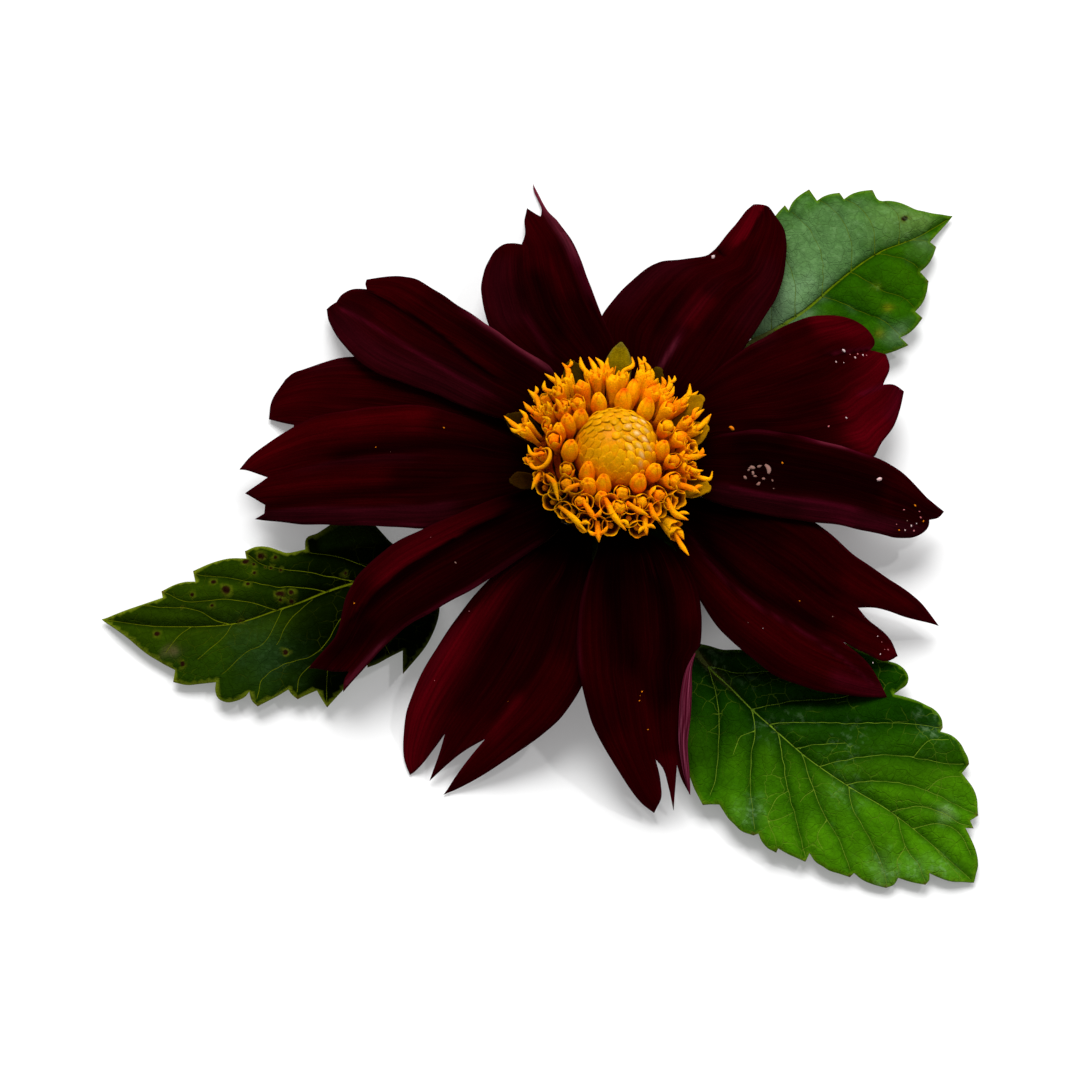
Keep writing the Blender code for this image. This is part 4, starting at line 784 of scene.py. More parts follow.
def green_look(name, rough, spec):
    look = Look(name, Specular_IOR_Level=spec)
    tint, grain = look.attribute("tint", "Color"), look.attribute("grain")
    lines = look.noise(look.scaled(grain, (0.5, 3.0, 3.0)), detail=3.0)
    spots = look.noise(grain, scale=0.8, detail=3.0)
    colour = look.times(tint, look.calc("MULTIPLY", look.span(lines, 0.3, 0.7, 0.78, 1.2), look.span(spots, 0.3, 0.7, 0.85, 1.15)))
    look.surface(Base_Color=colour, Roughness=look.span(spots, 0.3, 0.7, rough - 0.07, rough + 0.08),
                 Normal=look.bump(lines, 0.5, 0.00018))
    return look.mat


# ----------------------------------------------------------------------------
# ray florets
# ----------------------------------------------------------------------------
class Ray:
    """Shape of one ray floret in its own axes: u outwards from the flower's axis, v to the left."""

    def __init__(self, k):
        self.k, self.spec = k, RAYS[k]
        self.left = Curve1D(((RAY_FOOT, RAY_FOOT_HALF),) + self.spec["left"])
        self.right = Curve1D(((RAY_FOOT, -RAY_FOOT_HALF),) + self.spec["right"])
        if k == 1:
            self.right = Curve1D(((RAY_FOOT, -RAY_FOOT_HALF), (14, -4.8), (18, -5.3), (23, -4.7)) + self.spec["right"][2:])
        if k == 2:
            self.right = Curve1D(((RAY_FOOT, -RAY_FOOT_HALF), (13, -4.6), (17, -6.3), (21, -7.8)) + self.spec["right"][2:])
        self.l_end, self.r_end = self.spec["left"][-1], self.spec["right"][-1]
        self.z_foot = RAY_Z + RAY_LAYER * self.spec["whorl"]
        self.ca, self.sa = math.cos(math.radians(self.spec["az"])), math.sin(math.radians(self.spec["az"]))

    def sides(self, u):
        return self.left(np.minimum(u, self.l_end[0])), self.right(np.minimum(u, self.r_end[0]))

    def across(self, u, v):
        a, b = self.sides(u)
        return np.clip((2 * v - a - b) / (a - b), -1.0, 1.0)

    def height(self, u, v):
        zf, spec = self.z_foot, self.spec
        z = zf + RAY_ARCH * np.clip((u - RAY_FOOT) / (RAY_CREST - RAY_FOOT), 0.0, 1.0)
        q = np.maximum((u - RAY_CREST) / (spec["reach"] - RAY_CREST), 0.0)
        z = z - (zf + RAY_ARCH - spec["tip_z"]) * q**RAY_DROOP
        t = self.across(u, v)
        z = z - np.where(t > 0, spec["fall"][0], spec["fall"][1]) * np.abs(t)**RAY_FALL * smooth((u - 11.0) / 11.0)
        z = z + self.relief(u, v)
        return soft_floor(z, RAY_THICK / 2 + REST)

    def relief(self, u, v):
        p = np.stack((u, v), axis=-1).reshape(-1, 2)
        z = 0.10 * ripple(u, v, self.k, 16.0)
        for kind, wide, strength, line in MARKS[self.k]:
            if kind in ("ridge", "groove"):
                d, along, _, size = beside(p, flowing(line, 1.0, corner=180))
                ends = smooth(np.minimum(along, size - along) / 3.0 + 0.1)
                bump = (strength * ends * np.exp(-(d / wide)**2)).reshape(np.shape(u))
                z = z + (bump if kind == "ridge" else -bump)
        return z

    def outline(self, step):
        right = [(u, float(self.right(u))) for u in np.arange(RAY_FOOT, self.r_end[0] - 0.5 * step, step)]
        left = [(u, float(self.left(u))) for u in np.arange(RAY_FOOT, self.l_end[0] - 0.5 * step, step)]
        ends = [right[-1], self.r_end] + list(self.spec["teeth"])[::-1] + [self.l_end, left[-1]]
        tips = flowing(ends, step, corner=50.0)
        return right[:-1] + tips + left[:-1][::-1]

    def world(self, u, v, z):
        return np.stack((u * self.ca - v * self.sa, u * self.sa + v * self.ca, z), axis=-1)

    def on_top(self, u, v, lift=0.0):
        u, v = np.array([float(u)]), np.array([float(v)])
        return self.world(u, v, self.height(u, v) + 0.16 + lift)[0]


def petal_colour(ray, p, edge):
    u, v = p[:, 0], p[:, 1]
    colour = np.broadcast_to(np.array(BASE), (len(p), 3)).copy()
    tips = smooth((u - 24.0) / 20.0)
    colour = mix(colour, SHADES["red"], 0.22 * tips)
    # the marks: the floret's own colours, painted shade along the grooves and painted sheen where the surface turns
    for kind, wide, strength, line in MARKS[ray.k]:
        side = {"+": 1.0, "-": -1.0}.get(kind[-1], 0.0)
        kind = kind.rstrip("+-")
        if kind not in SHADES:
            continue
        line = flowing(line, 1.0, corner=180)
        d, along, hand, size = beside(p, line)
        # tables run outwards or inwards; left and right are meant as seen looking outwards
        if line[0][0] > line[-1][0]:
            hand = -hand
        taper = smooth(np.minimum(along, size - along) / min(4.0, 0.3 * size) + 0.12)
        out_end = along if line[0][0] > line[-1][0] else size - along
        if max(line[0][0], line[-1][0]) > ray.spec["reach"] - 3.5:
            taper = np.where(out_end < 0.5 * size, 1.0, taper)
        f = strength * taper * np.exp(-(d / wide)**2)
        if side:
            f = f * smooth(0.5 + hand * side * d / 0.30)
        colour = mix(colour, SHADES[kind], f)
    # painted sheen: the margins are tinted magenta, as velvet edges catch the light
    margin_sheen = smooth(1.0 - edge / 0.5)
    colour = mix(colour, SHADES["magenta"], 0.16 * margin_sheen * smooth((u - 16.0) / 10.0))
    # painted shade: darker towards the foot, under the disc, and darker still on florets 5 to 8, which lie in the
    # disc's shadow
    near = 0.30 + 0.70 * smooth((u - 11.0) / 11.0)
    if ray.k in (5, 6, 7, 8):
        near = near * (0.55 + 0.45 * smooth((u - 14.0) / 13.0))
    return colour * near[:, None]


def petal_under(ray, p, edge):
    u, v = p[:, 0], p[:, 1]
    t = ray.across(u, v)
    ribs = 0.5 + 0.5 * np.cos(t * 16.0 + 0.6 * np.sin(u * 0.2))
    colour = mix(UNDERSIDE, (0.100, 0.013, 0.026), 0.55 * ribs**3)
    colour = mix(colour, (0.10, 0.075, 0.02), 0.7 * smooth((15.0 - u) / 5.0))
    return mix(colour, SHADES["red"], 0.35 * smooth((u - 34.0) / 10.0))


def petal(k):
    ray = Ray(k)
    loop = ray.outline(GRID)
    rows = []
    columns = 41
    far = max(p[0] for p in loop)
    for i, u in enumerate(np.arange(RAY_FOOT + 0.6, far, GRID)):
        a, b = ray.sides(u)
        ts = np.linspace(-1, 1, columns)
        gap = (a - b) / (columns - 1)
        stride = 1 if gap > 0.6 * GRID else 2 if gap > 0.3 * GRID else 4
        ts = ts[::stride]
        rows += [(u, 0.5 * (a + b) + 0.5 * t * (a - b)) for t in ts]
    inner = np.array(rows, float)
    keep = inside(inner, loop)
    inner = inner[keep]
    d, _ = away(inner, loop, closed=True)
    inner = inner[d > 0.6 * GRID]
    flat, tri, ring = mesh_flat(loop, inner.tolist())
    u, v = flat[:, 0], flat[:, 1]
    edge, _ = away(flat, loop, closed=True)
    z = ray.height(u, v)
    # a fine wave along the margin, and the turned-up right margin of the first floret
    z = z + 0.10 * np.sin(u * 1.15 + k) * smooth(1.0 - edge / 1.6) * smooth((u - 18.0) / 8.0)
    if k == 1:
        z = z + 0.7 * smooth(1.0 - edge / 1.1) * smooth((0.0 - v) / 1.0) * smooth((u - 20.0) / 6.0) * smooth((47.0 - u) / 4.0)
    z = soft_floor(z, 0.24, 0.3)
    co = ray.world(u, v, z)
    thick = 0.12 + 0.24 * smooth(edge / 1.6)
    grain = np.stack((u, v, np.full(len(u), 7.3 * k)), axis=-1)
    a, b = ray.sides(u)
    # the grain runs with the margins: across, it is measured as on the widest part
    grain[:, 1] = ray.across(u, v) * 8.0 + 0.25 * v
    shape = Shape()
    shape.sheet(co, tri, ring, thick, petal_colour(ray, flat, edge), petal_under(ray, flat, edge), grain)
    if k == 6:
        rolled_margin(shape, ray)
    return shape.piece("petal_%02d" % k, petal_look(k), ["ray_floret_%02d" % k])


def rolled_margin(shape, ray):
    """The left margin of the sixth floret rolls back over it and shows its paler underside."""
    outer = flowing(((27.5, 6.6), (29, 5.9), (32, 5.3), (35, 4.6), (38, 3.7), (41, 3.4), (43.6, 3.1)), 0.4, corner=180)
    inner = flowing(((27.7, 6.4), (29.5, 5.0), (32, 3.9), (35, 3.1), (38, 2.6), (41, 2.6), (43.4, 3.0)), 0.4, corner=180)
    n = min(len(outer), len(inner)) * 2
    out_line = np.array([outer[int(round(i * (len(outer) - 1) / (n - 1)))] for i in range(n)])
    in_line = np.array([inner[int(round(i * (len(inner) - 1) / (n - 1)))] for i in range(n)])
    # resample evenly so that rows don't repeat
    def even(line):
        step = np.hypot(*np.diff(line, axis=0).T)
        run = np.concatenate(((0,), np.cumsum(step)))
        keep = np.concatenate(((True,), step > 1e-9))
        want = np.linspace(0, run[-1], 44)
        return np.stack([np.interp(want, run[keep], line[keep][:, c]) for c in (0, 1)], axis=-1)
    out_line, in_line = even(out_line), even(in_line)
    wide = 25
    w = np.linspace(0, 1, wide)
    pts, tints, grains = [], [], []
    for i in range(44):
        f = i / 43.0
        swell = math.sin(math.pi * min(1.0, 0.04 + f * 0.96)) ** 0.6
        base = out_line[i] + (in_line[i] - out_line[i]) * w[:, None]
        base[:, 1] += 0.18 * swell * np.sin(w * math.pi) * 0.4
        z = ray.height(base[:, 0], base[:, 1])
        lift = 0.30 + 0.85 * swell * np.sin(np.minimum(w * 1.25, 1.0) * math.pi * 0.62) ** 1.0 - 0.35 * smooth((w - 0.7) / 0.3) * swell
        z = z.mean() * 0.25 + z * 0.75 + lift * (0.25 + 0.75 * min(1.0, 8 * f, 8 * (1 - f) + 0.3))
        pts.append(ray.world(base[:, 0], base[:, 1], z))
        stripe = (0.46 + 0.28 * np.sin(w * 16 + 2.4 * math.sin(f * 5) + 0.8 * math.sin(f * 17))
                  + 0.26 * np.sin(w * 29 + 4.0 * math.sin(f * 3.3) + 1.6 * math.sin(f * 12)))
        c = mix((0.050, 0.0010, 0.0080), (0.290, 0.058, 0.110), stripe**2 * (0.35 + 0.65 * swell) * (0.72 + 0.28 * np.sin(f * 8 - 1.5 + w * 5)))
        c = mix(c, (0.04, 0.001, 0.006), smooth(1 - w / 0.12) * 0.6)
        tints.append(c)
        grains.append(np.stack((np.full(wide, base[:, 0].mean()), w * 3.0, np.full(wide, 61.0)), axis=-1))
    co, tint, grain = np.vstack(pts), np.vstack(tints), np.vstack(grains)
    tri = []
    for i in range(43):
        for j in range(wide - 1):
            a = i * wide + j
            tri += [(a, a + wide, a + wide + 1), (a, a + wide + 1, a + 1)]
    tri = np.array(tri)
    ring = ([i * wide for i in range(44)] + [43 * wide + j for j in range(1, wide)]
            + [i * wide + wide - 1 for i in range(42, -1, -1)] + [j for j in range(wide - 2, 0, -1)])
    if normals_of(co, tri)[:, 2].mean() < 0:
        tri, ring = tri[:, ::-1], ring[::-1]
    shape.sheet(co, tri, ring, np.full(len(co), 0.14), tint, mix(tint, BASE, 0.8), grain, (9.0, 0.0, 1.0))


# ----------------------------------------------------------------------------
# leaves
# ----------------------------------------------------------------------------
# Margins drawn in more detail than in the design: -1 is a point and -2 the notch beside it
LEAF_DETAIL = {
    "leaf_left": dict(
        left=((5, 13.4, 3.6), (8.5, 11.6, 0), (9.5, 11.8, 0.8), (13, 14.6, 0), (15.3, 16.9, -1), (15.8, 15.8, 0),
              (16.4, 14.3, -2), (17.5, 14.7, 0), (19, 15.3, -1), (19.6, 14.7, 0), (20.1, 13.8, -2), (21.3, 14.4, 0),
              (23, 15.1, 0), (24.3, 15.6, -1), (24.9, 14.8, 0), (25.2, 13.3, -2), (25.7, 13.9, 0), (27, 14.4, 0),
              (28.3, 14.4, 0), (29.3, 13.7, 0), (29.6, 12.5, 0), (29.4, 11.3, -2), (31.6, 11.2, 0), (33.2, 11.1, 0),
              (35, 10.4, -1), (34.6, 8.8, -2), (36, 7.8, 0), (37.7, 6.4, 0)),
        right=((4.5, -5.8, 0), (6.4, -8.8, 0), (9.6, -10.5, 1), (12, -9.3, 0), (14.2, -8.1, 0), (15.7, -7.6, 0),
               (16.0, -6.1, 0), (18.6, -6.1, 0), (20.8, -7.2, 0), (22.6, -7.5, 0), (24.0, -7.1, 1.1),
               (31.1, -5.2, 1.7), (35.5, -2.7, 1))),
    "leaf_lower_right": dict(
        length=48.2,
        midrib=((0, -0.6), (3, -1.2), (6.5, -1.4), (12, -1.9), (16, -2.1), (20, -2.2), (24, -2), (28, -1.6), (31.5, -0.9),
                (35, -0.4), (39, -0.2), (43, -0.3), (48.2, -0.5)),
        left=((3.5, 1.8, 0), (5.2, 3.4, 0), (10, 10, 0), (14, 13, 0), (17.6, 14.3, 0), (20.2, 15.1, 0), (21.6, 15.7, 0),
              (22.9, 15.7, 0), (23.9, 15.2, 0), (24.4, 14.2, 0), (24.0, 12.1, -2), (25.4, 12.8, 0), (27.2, 13.5, 0),
              (29.2, 14, 0), (31, 13.6, 0), (31.7, 12.9, -1), (31.8, 12.3, -2), (33.2, 12.9, 0), (34.9, 12.8, 0),
              (36.8, 12, 0), (37.4, 11.5, -1), (37.5, 9.9, -2), (39.6, 9.4, 0), (41.3, 8.4, 0), (42.8, 6.8, -1),
              (42.5, 5.5, -2), (43.5, 5, -1), (42.7, 4.3, -2), (44.3, 3.6, 0), (45.9, 2.7, 0), (47.3, 1.3, 0)),
        right=((3.5, -7.5, 0), (7.5, -12.2, 0), (11.6, -14.4, 0), (13.6, -15.5, 0), (15.8, -16.4, -1), (16.6, -15.5, 0),
               (17.3, -14.9, -2), (19.5, -15.6, 0), (21.7, -15.8, 0), (23.4, -15.2, -1), (23.7, -14.6, -2), (24.7, -15.1, 0),
               (25.9, -15.3, 0), (27.1, -15, -1), (26.9, -14.4, -2), (28.3, -14.1, 0), (30.6, -13.3, -1), (30.4, -12.6, 0),
               (30.2, -12, -2), (31.6, -12.4, 0), (33.6, -12.1, 0), (36.1, -10.9, -1), (36.1, -10.1, -2), (37.4, -10.1, 0),
               (38.9, -9.6, 0), (40.4, -8.8, -1), (40.9, -7.7, 0), (40.7, -6.8, -2), (42.4, -6.1, 0), (43.9, -5.2, -1),
               (43.9, -4.4, 0), (43.3, -3.7, -2), (44.6, -3.3, 0), (46.2, -2.5, 0))),
    "leaf_upper_right": dict(
        left=((7.6, 10.5, 1), (12.3, 12.9, 1), (16.5, 14.2, 1), (21.0, 14.5, 2.2), (24.2, 11.7, 1.2), (28.4, 9.6, 2),
              (29.2, 7.0, 0), (30.3, 5.6, 0), (31.3, 3.5, 0), (32.8, 1.9, 0))),
}


class Leaf:
    """Shape of one leaf in its own axes: x from the base of the blade to its tip, y to the left."""

    def __init__(self, spec):
        self.spec = spec
        self.mid = Curve1D(spec["midrib"])
        self.ca, self.sa = math.cos(math.radians(spec["az"])), math.sin(math.radians(spec["az"]))

    def margin(self, side):
        sign = 1.0 if side == "left" else -1.0
        at = (0.0, float(self.mid(0.0)) + sign * 0.8)
        pts, sharp = [at], [True]
        tip = (self.spec["length"], float(self.mid(self.spec["length"])), 0.0)
        for i, (x, y, bite) in enumerate(self.spec[side] + (tip,)):
            run = math.hypot(x - at[0], y - at[1])
            nx, ny = -(y - at[1]) / run * sign, (x - at[0]) / run * sign
            belly = (0.09 if i else 0.18) * run if bite > 0 else 0.0
            for f in (0.3, 0.65, 0.88) if run > 3.0 and bite > 0 else (0.5,) if run > 2.0 else ():
                lift = belly * math.sin(math.pi * f**0.85)
                pts.append((at[0] + (x - at[0]) * f + nx * lift, at[1] + (y - at[1]) * f + ny * lift))
                sharp.append(False)
            if i == len(self.spec[side]):
                break
            pts.append((x, y))
            sharp.append(bool(bite))
            at = (x, y)
            if bite > 0:
                at = (x - 0.10 * bite, y - sign * 0.95 * bite)
                pts.append(at)
                sharp.append(False)
        return pts, sharp

    def loop(self):
        (right, keen_right), (left, keen_left) = self.margin("right"), self.margin("left")
        tip = (self.spec["length"], float(self.mid(self.spec["length"])))
        return right + [tip] + left[::-1], keen_right + [True] + keen_left[::-1]

    def height(self, x, y):
        z_base, z_mid = self.spec["rise"]
        f = x / self.spec["length"]
        z = z_base + (z_mid - z_base) * smooth(f / 0.5) - (z_mid - 0.5) * smooth((f - 0.4) / 0.6)
        off = np.abs(y - self.mid(np.clip(x, 0.0, self.spec["length"])))
        z = z + 0.55 * np.sin(np.minimum(off / 7.0, 1.0) * math.pi) + 0.035 * np.maximum(off - 5.0, 0.0) + 0.35 * smooth(f / 0.8)
        return soft_floor(z, LEAF_THICK / 2 + REST)

    def world(self, x, y, z):
        bx, by = self.spec["base"]
        return np.stack((bx + x * self.ca - y * self.sa, by + x * self.sa + y * self.ca, z), axis=-1)


def leaf(name):
    spec, looks = dict(LEAVES[name], **LEAF_DETAIL.get(name, {})), LEAF_LOOKS[name]
    shape_of = Leaf(spec)
    step = GRID * 1.1
    corners, keen = shape_of.loop()
    loop = flowing(corners, step, corner=75.0, closed=True, sharp=keen)
    loop_np = np.array(loop)
    # the midrib and the side veins, each with half its width at its start and end
    mid = flowing([(x, float(shape_of.mid(x))) for x in np.linspace(0.4, spec["length"] - 0.6, 14)], step, corner=180)
    veins = [(mid, looks["midrib"], 0.07)]
    for n, line in enumerate(looks["veins"] + looks["fine"]):
        run = np.array(flowing(line, step, corner=180))
        t = np.gradient(run, axis=0)
        t = t / np.maximum(np.hypot(t[:, 0], t[:, 1]), 1e-9)[:, None]
        sway = 0.07 * ripple(run[:, 0], run[:, 1], 200 + n, 2.6) * smooth(np.arange(len(run)) / 4.0)
        run = run + sway[:, None] * np.stack((-t[:, 1], t[:, 0]), axis=-1)
        fine = n >= len(looks["veins"])
        veins.append((run.tolist(), 0.036 if fine else looks["side"], 0.030 if fine else 0.040))
    lines = []
    for line, _, _ in veins:
        pts = np.array(line)
        d, _ = away(pts, loop_np, closed=True)
        good = inside(pts, loop) & (d > 0.3)
        run = []
        for ok, q in zip(good, line):
            if ok:
                run.append(q)
            elif len(run) > 1:
                break
        if len(run) > 1:
            lines.append(run)
    lo, hi = loop_np.min(0), loop_np.max(0)
    gx, gy = np.meshgrid(np.arange(lo[0], hi[0], step), np.arange(lo[1], hi[1], step))
    gy[:, 1::2] += 0.5 * step
    inner = np.stack((gx.ravel(), gy.ravel()), axis=-1)
    inner = inner[inside(inner, loop)]
    d, _ = away(inner, loop_np, closed=True)
    inner = inner[d > 0.6 * step]
    clear = np.full(len(inner), 1e9)
    for line in lines:
        clear = np.minimum(clear, away(inner, line)[0])
    inner = inner[clear > 0.45 * step]
    # points close beside the veins and round the spots keep those crisp
    extra = []
    for line, (_, w0, w1) in zip(lines, [v for v in veins]):
        pts = np.array(line)
        t = np.gradient(pts, axis=0)
        t = t / np.maximum(np.hypot(t[:, 0], t[:, 1]), 1e-9)[:, None]
        wide = (w0 + (w1 - w0) * np.linspace(0, 1, len(pts)) ** 0.7)[:, None] * 1.7
        nrm = np.stack((-t[:, 1], t[:, 0]), axis=-1)
        extra += [pts + nrm * wide, pts - nrm * wide]
    for px, py, size in looks["spots"]:
        a = np.arange(9) * 2 * math.pi / 9
        for r in (0.0, 0.45, 0.8, 1.2):
            extra.append(np.stack((px + r * size * 0.7 * np.cos(a + r * 9), py + r * size * 0.7 * np.sin(a + r * 9)), axis=-1)[: 9 if r else 1])
    extra = np.vstack(extra)
    extra = extra[inside(extra, loop)]
    extra = extra[away(extra, loop_np, closed=True)[0] > 0.15]
    gap = np.min(np.hypot(inner[:, None, 0] - extra[None, :, 0], inner[:, None, 1] - extra[None, :, 1]), axis=1)
    inner = np.vstack((inner[gap > 0.40 * step], extra))
    flat, tri, ring = mesh_flat(loop, inner.tolist(), lines)
    x, y = flat[:, 0], flat[:, 1]
    edge, _ = away(flat, loop_np, closed=True)
    ratio, big = np.full(len(flat), 9.0), np.full(len(flat), 1e9)
    for i, (line, w0, w1) in enumerate(veins):
        d, along = away(flat, line)
        wide = w0 + (w1 - w0) * along**0.7
        ratio = np.minimum(ratio, d / wide)
        if i <= len(looks["veins"]):
            big = np.minimum(big, d + (0.0 if i == 0 else 0.05))
    mid_off, mid_along = away(flat, mid)
    # between the veins the blade is puffed up; the veins lie in furrows
    quilt = smooth(big / 2.2) * smooth(edge / 1.6 + 0.15)
    z = shape_of.height(x, y) + 0.42 * quilt - 0.18 * np.exp(-(mid_off / 0.6)**2)
    z = z + 0.10 * ripple(x, y, 11 + len(name), 7.0) * smooth(edge / 2.0)
    z = z + 0.16 * ripple(x, y, 40 + len(name), 11.0) * smooth(1 - edge / 3.0)
    if name == "leaf_left":
        curl = smooth(1 - edge / 0.9) * smooth((0.0 - y) / 3.0) * smooth((x - 8.0) / 2.0) * smooth((18.0 - x) / 3.0)
        z = z + 0.8 * curl
    z = soft_floor(z, 0.22, 0.3)
    co = shape_of.world(x, y, z)
    green, light, dark = looks["green"], looks["light"], looks["dark"]
    colour = mix(green, light, 0.55 * smooth((x - 0.35 * spec["length"]) / (0.6 * spec["length"])))
    # painted light and shade on the relief: the puffed parts between the veins lighter, the furrows beside the veins
    # darker
    colour = mix(colour, light, 0.55 * quilt * (0.5 + 0.5 * ripple(x, y, 5, 9.0)))
    colour = mix(colour, dark, 0.75 * smooth(1 - big / 0.9) * (1 - 0.3 * smooth(x / spec["length"])))
    gloss = np.zeros(len(flat))
    # the pale patches are painted reflections on the waxy blade, the brown ones the leaf's own stains; all make the
    # surface glossier
    for (px, py), size, tone, how in looks["sheen_and_stain_patches"]:
        d = np.hypot(x - px, (y - py))
        d = d * (1 + 0.28 * ripple(x, y, int(px * 3 + 50), 3.0))
        f = how * np.exp(-(d / size)**2 * 0.8)
        if name == "leaf_upper_right" and py > 2:
            f = f * smooth((y - shape_of.mid(np.clip(x, 0, spec["length"])) - 0.1) / 0.8) * (0.35 + 0.65 * smooth((edge - 0.2) / 1.4))
        colour = mix(colour, tone, f * looks["veil"])
        gloss = np.maximum(gloss, f)
    if name == "leaf_left":
        # painted shade: darkest near the flower, where the petals stand over it, together with the leaf's own darker
        # colour there
        deep = 0.17 + 0.83 * smooth((x - 14.0 - 0.14 * np.maximum(y, 0.0)) / 10.0)
        deep = np.maximum(deep, smooth((-5.0 - y) / 1.5) * smooth((15.0 - x) / 2.0))
        colour = colour * deep[:, None]
        # painted sheen: the lower half bluish
        colour = colour * mix(np.ones(3), (0.64, 0.84, 1.45), 0.8 * smooth((y - 4.0) / 4.0))
    if name == "leaf_lower_right":
        # from dark green beside the flower, partly painted shade under the petals, to yellow green along the outer
        # margin
        run = x - 1.3 * y
        gain = 0.45 + 1.38 * smooth((run - 11.0) / 28.0)
        red = gain * (0.62 + 0.38 * smooth((run - 12.0) / 15.0))
        colour = colour * np.stack((red, gain, 0.7 * gain), axis=-1)
    # the part nearest the flower is darker: painted shade under the petals together with a deeper colour
    colour = colour * (looks["shade"] + (1.0 - looks["shade"]) * smooth((x - 3.0) / 12.0))[:, None]
    colour = mix(colour, (0.05, 0.035, 0.008), looks["brown"] * smooth(1 - mid_along / 0.22) * smooth(1 - mid_off / 0.9))
    line = smooth((1.25 - ratio) / 0.6)
    for px, py, size in looks["spots"]:
        d = np.hypot(x - px, y - py) * (1 + 0.22 * ripple(x, y, int(px * 7 + 90), 1.6)) / (0.55 * size)
        colour = mix(colour, (0.070, 0.088, 0.003), 0.60 * smooth((1.85 - d) / 0.6))
        colour = mix(colour, (0.0105, 0.0030, 0.0013), smooth((1.30 - d) / 0.40))
    rim = smooth(1.0 - edge / looks["rim_width"])
    if name == "leaf_left":
        rim = np.maximum(rim, smooth(1 - edge / 0.36) * smooth((1.0 - y) / 2.0) * smooth((x - 8) / 2) * smooth((25.0 - x) / 3.0))
        # painted shade: the pale rim fades near the flower
        rim = rim * (0.25 + 0.75 * smooth((x - 9.0) / 8.0))
    colour = mix(colour, looks["rim"], 0.85 * rim)
    tips = [(t[0], t[1]) for side in ("left", "right") for t in spec[side] if t[2] > 0 or t[2] == -1]
    for tx, ty in tips:
        colour = mix(colour, (0.10, 0.035, 0.012), 0.7 * smooth(1.0 - np.hypot(x - tx, y - ty) / 0.55))
    paler = mix(mix(green, (0.10, 0.16, 0.06), 0.62), (0.19, 0.26, 0.10), 0.8 * line)
    thick = 0.13 + 0.16 * smooth(edge / 1.2)
    dents = 0.34 * np.exp(-(mid_off / 0.55)**2) * (1 - 0.7 * mid_along) + 0.10 * smooth(1 - ratio / 2.2)
    dents = dents * smooth(edge / 0.8)
    grain = np.stack((x, y, np.full(len(x), 3.0 * len(name))), axis=-1)
    marks = np.stack((ratio, gloss, np.zeros(len(x))), axis=-1)
    shape = Shape()
    shape.sheet(co, tri, ring, thick, colour, paler, grain, marks, dents)
    # the stalk
    foot = shape_of.world(0.3, float(shape_of.mid(0.3)), float(shape_of.height(np.array(0.3), np.array(float(shape_of.mid(0.3)))))) - (0, 0, 0.1)
    inward = shape_of.world(3.4, float(shape_of.mid(3.4)), float(shape_of.height(np.array(3.4), np.array(float(shape_of.mid(3.4)))))) - (0, 0, 0.22)
    head = math.atan2(foot[1], foot[0])
    z0 = PETIOLE_Z[name]
    start = np.array((math.cos(head) * 1.2, math.sin(head) * 1.2, z0))
    side = np.array((-math.sin(head), math.cos(head), 0.0))
    pts, radii, tints = [], [], []
    for i in range(25):
        f = i / 24
        q = start + (foot - start) * f + side * (1.2 * math.sin(math.pi * f))
        q[2] = z0 + (foot[2] - z0) * float(smooth(f * 0.9 + 0.05)) + 0.2 * math.sin(math.pi * f)
        pts.append(q)
        radii.append(PETIOLE_R * (1.25 - 0.45 * float(smooth(f * 1.6))) * (1 + 0.03 * math.sin(f * 31)))
        tints.append(mix((0.07, 0.10, 0.018), (0.075, 0.045, 0.02), 0.5 + 0.5 * math.sin(f * 6.0)))
    pts.append(inward)
    radii.append(PETIOLE_R * 0.42)
    tints.append(tints[-1])
    rod(shape, pts, radii, tints, sides=16, lobes=5, depth=0.05)
    return shape.piece("blade_of_" + name, leaf_look("surface_of_" + name, 0.68, looks), [name])


# ----------------------------------------------------------------------------
# stem, receptacle and bracts
# ----------------------------------------------------------------------------
def stem():
    shape = Shape()
    knots = [(0.6, -0.4, 0.03), (0.6, -0.4, 1.6), (0.58, -0.38, 2.4), (0.5, -0.33, 3.3), (0.4, -0.26, 4.3),
             (0.28, -0.18, 5.2), (0.16, -0.1, 6.0), (0.06, -0.03, 7.0), (0.0, 0.0, 8.35)]
    widths = [1.8, 1.8, 1.94, 1.98, 1.84, 2.02, 1.89, 1.76, 1.9]
    zs = np.linspace(0.03, 8.35, 34)
    kz = [k[2] for k in knots]
    pts = [(np.interp(z, kz, [k[0] for k in knots]), np.interp(z, kz, [k[1] for k in knots]), z) for z in zs]
    radii = [float(np.interp(z, kz, widths)) for z in zs]
    tints = [mix((0.085, 0.145, 0.028), (0.10, 0.055, 0.03), 0.25 + 0.25 * math.sin(z * 1.7)) for z in zs]
    rows_pts = [(0.6, -0.4, 0.03)] + pts
    radii = [1.05] + radii
    tints = [(0.30, 0.34, 0.14)] + tints
    rod(shape, rows_pts, radii, tints, sides=36, lobes=9, depth=0.028)
    # the pale ring of vessels and the pith on the cut end
    rod(shape, [(0.6, -0.4, 0.012), (0.6, -0.4, 0.5)], [0.95, 0.95], [(0.40, 0.42, 0.22), (0.3, 0.3, 0.1)], sides=24, lobes=6, depth=0.05)
    return shape.piece("flower_stem", green_look("stem_skin", 0.5, 0.3), ["stem"])


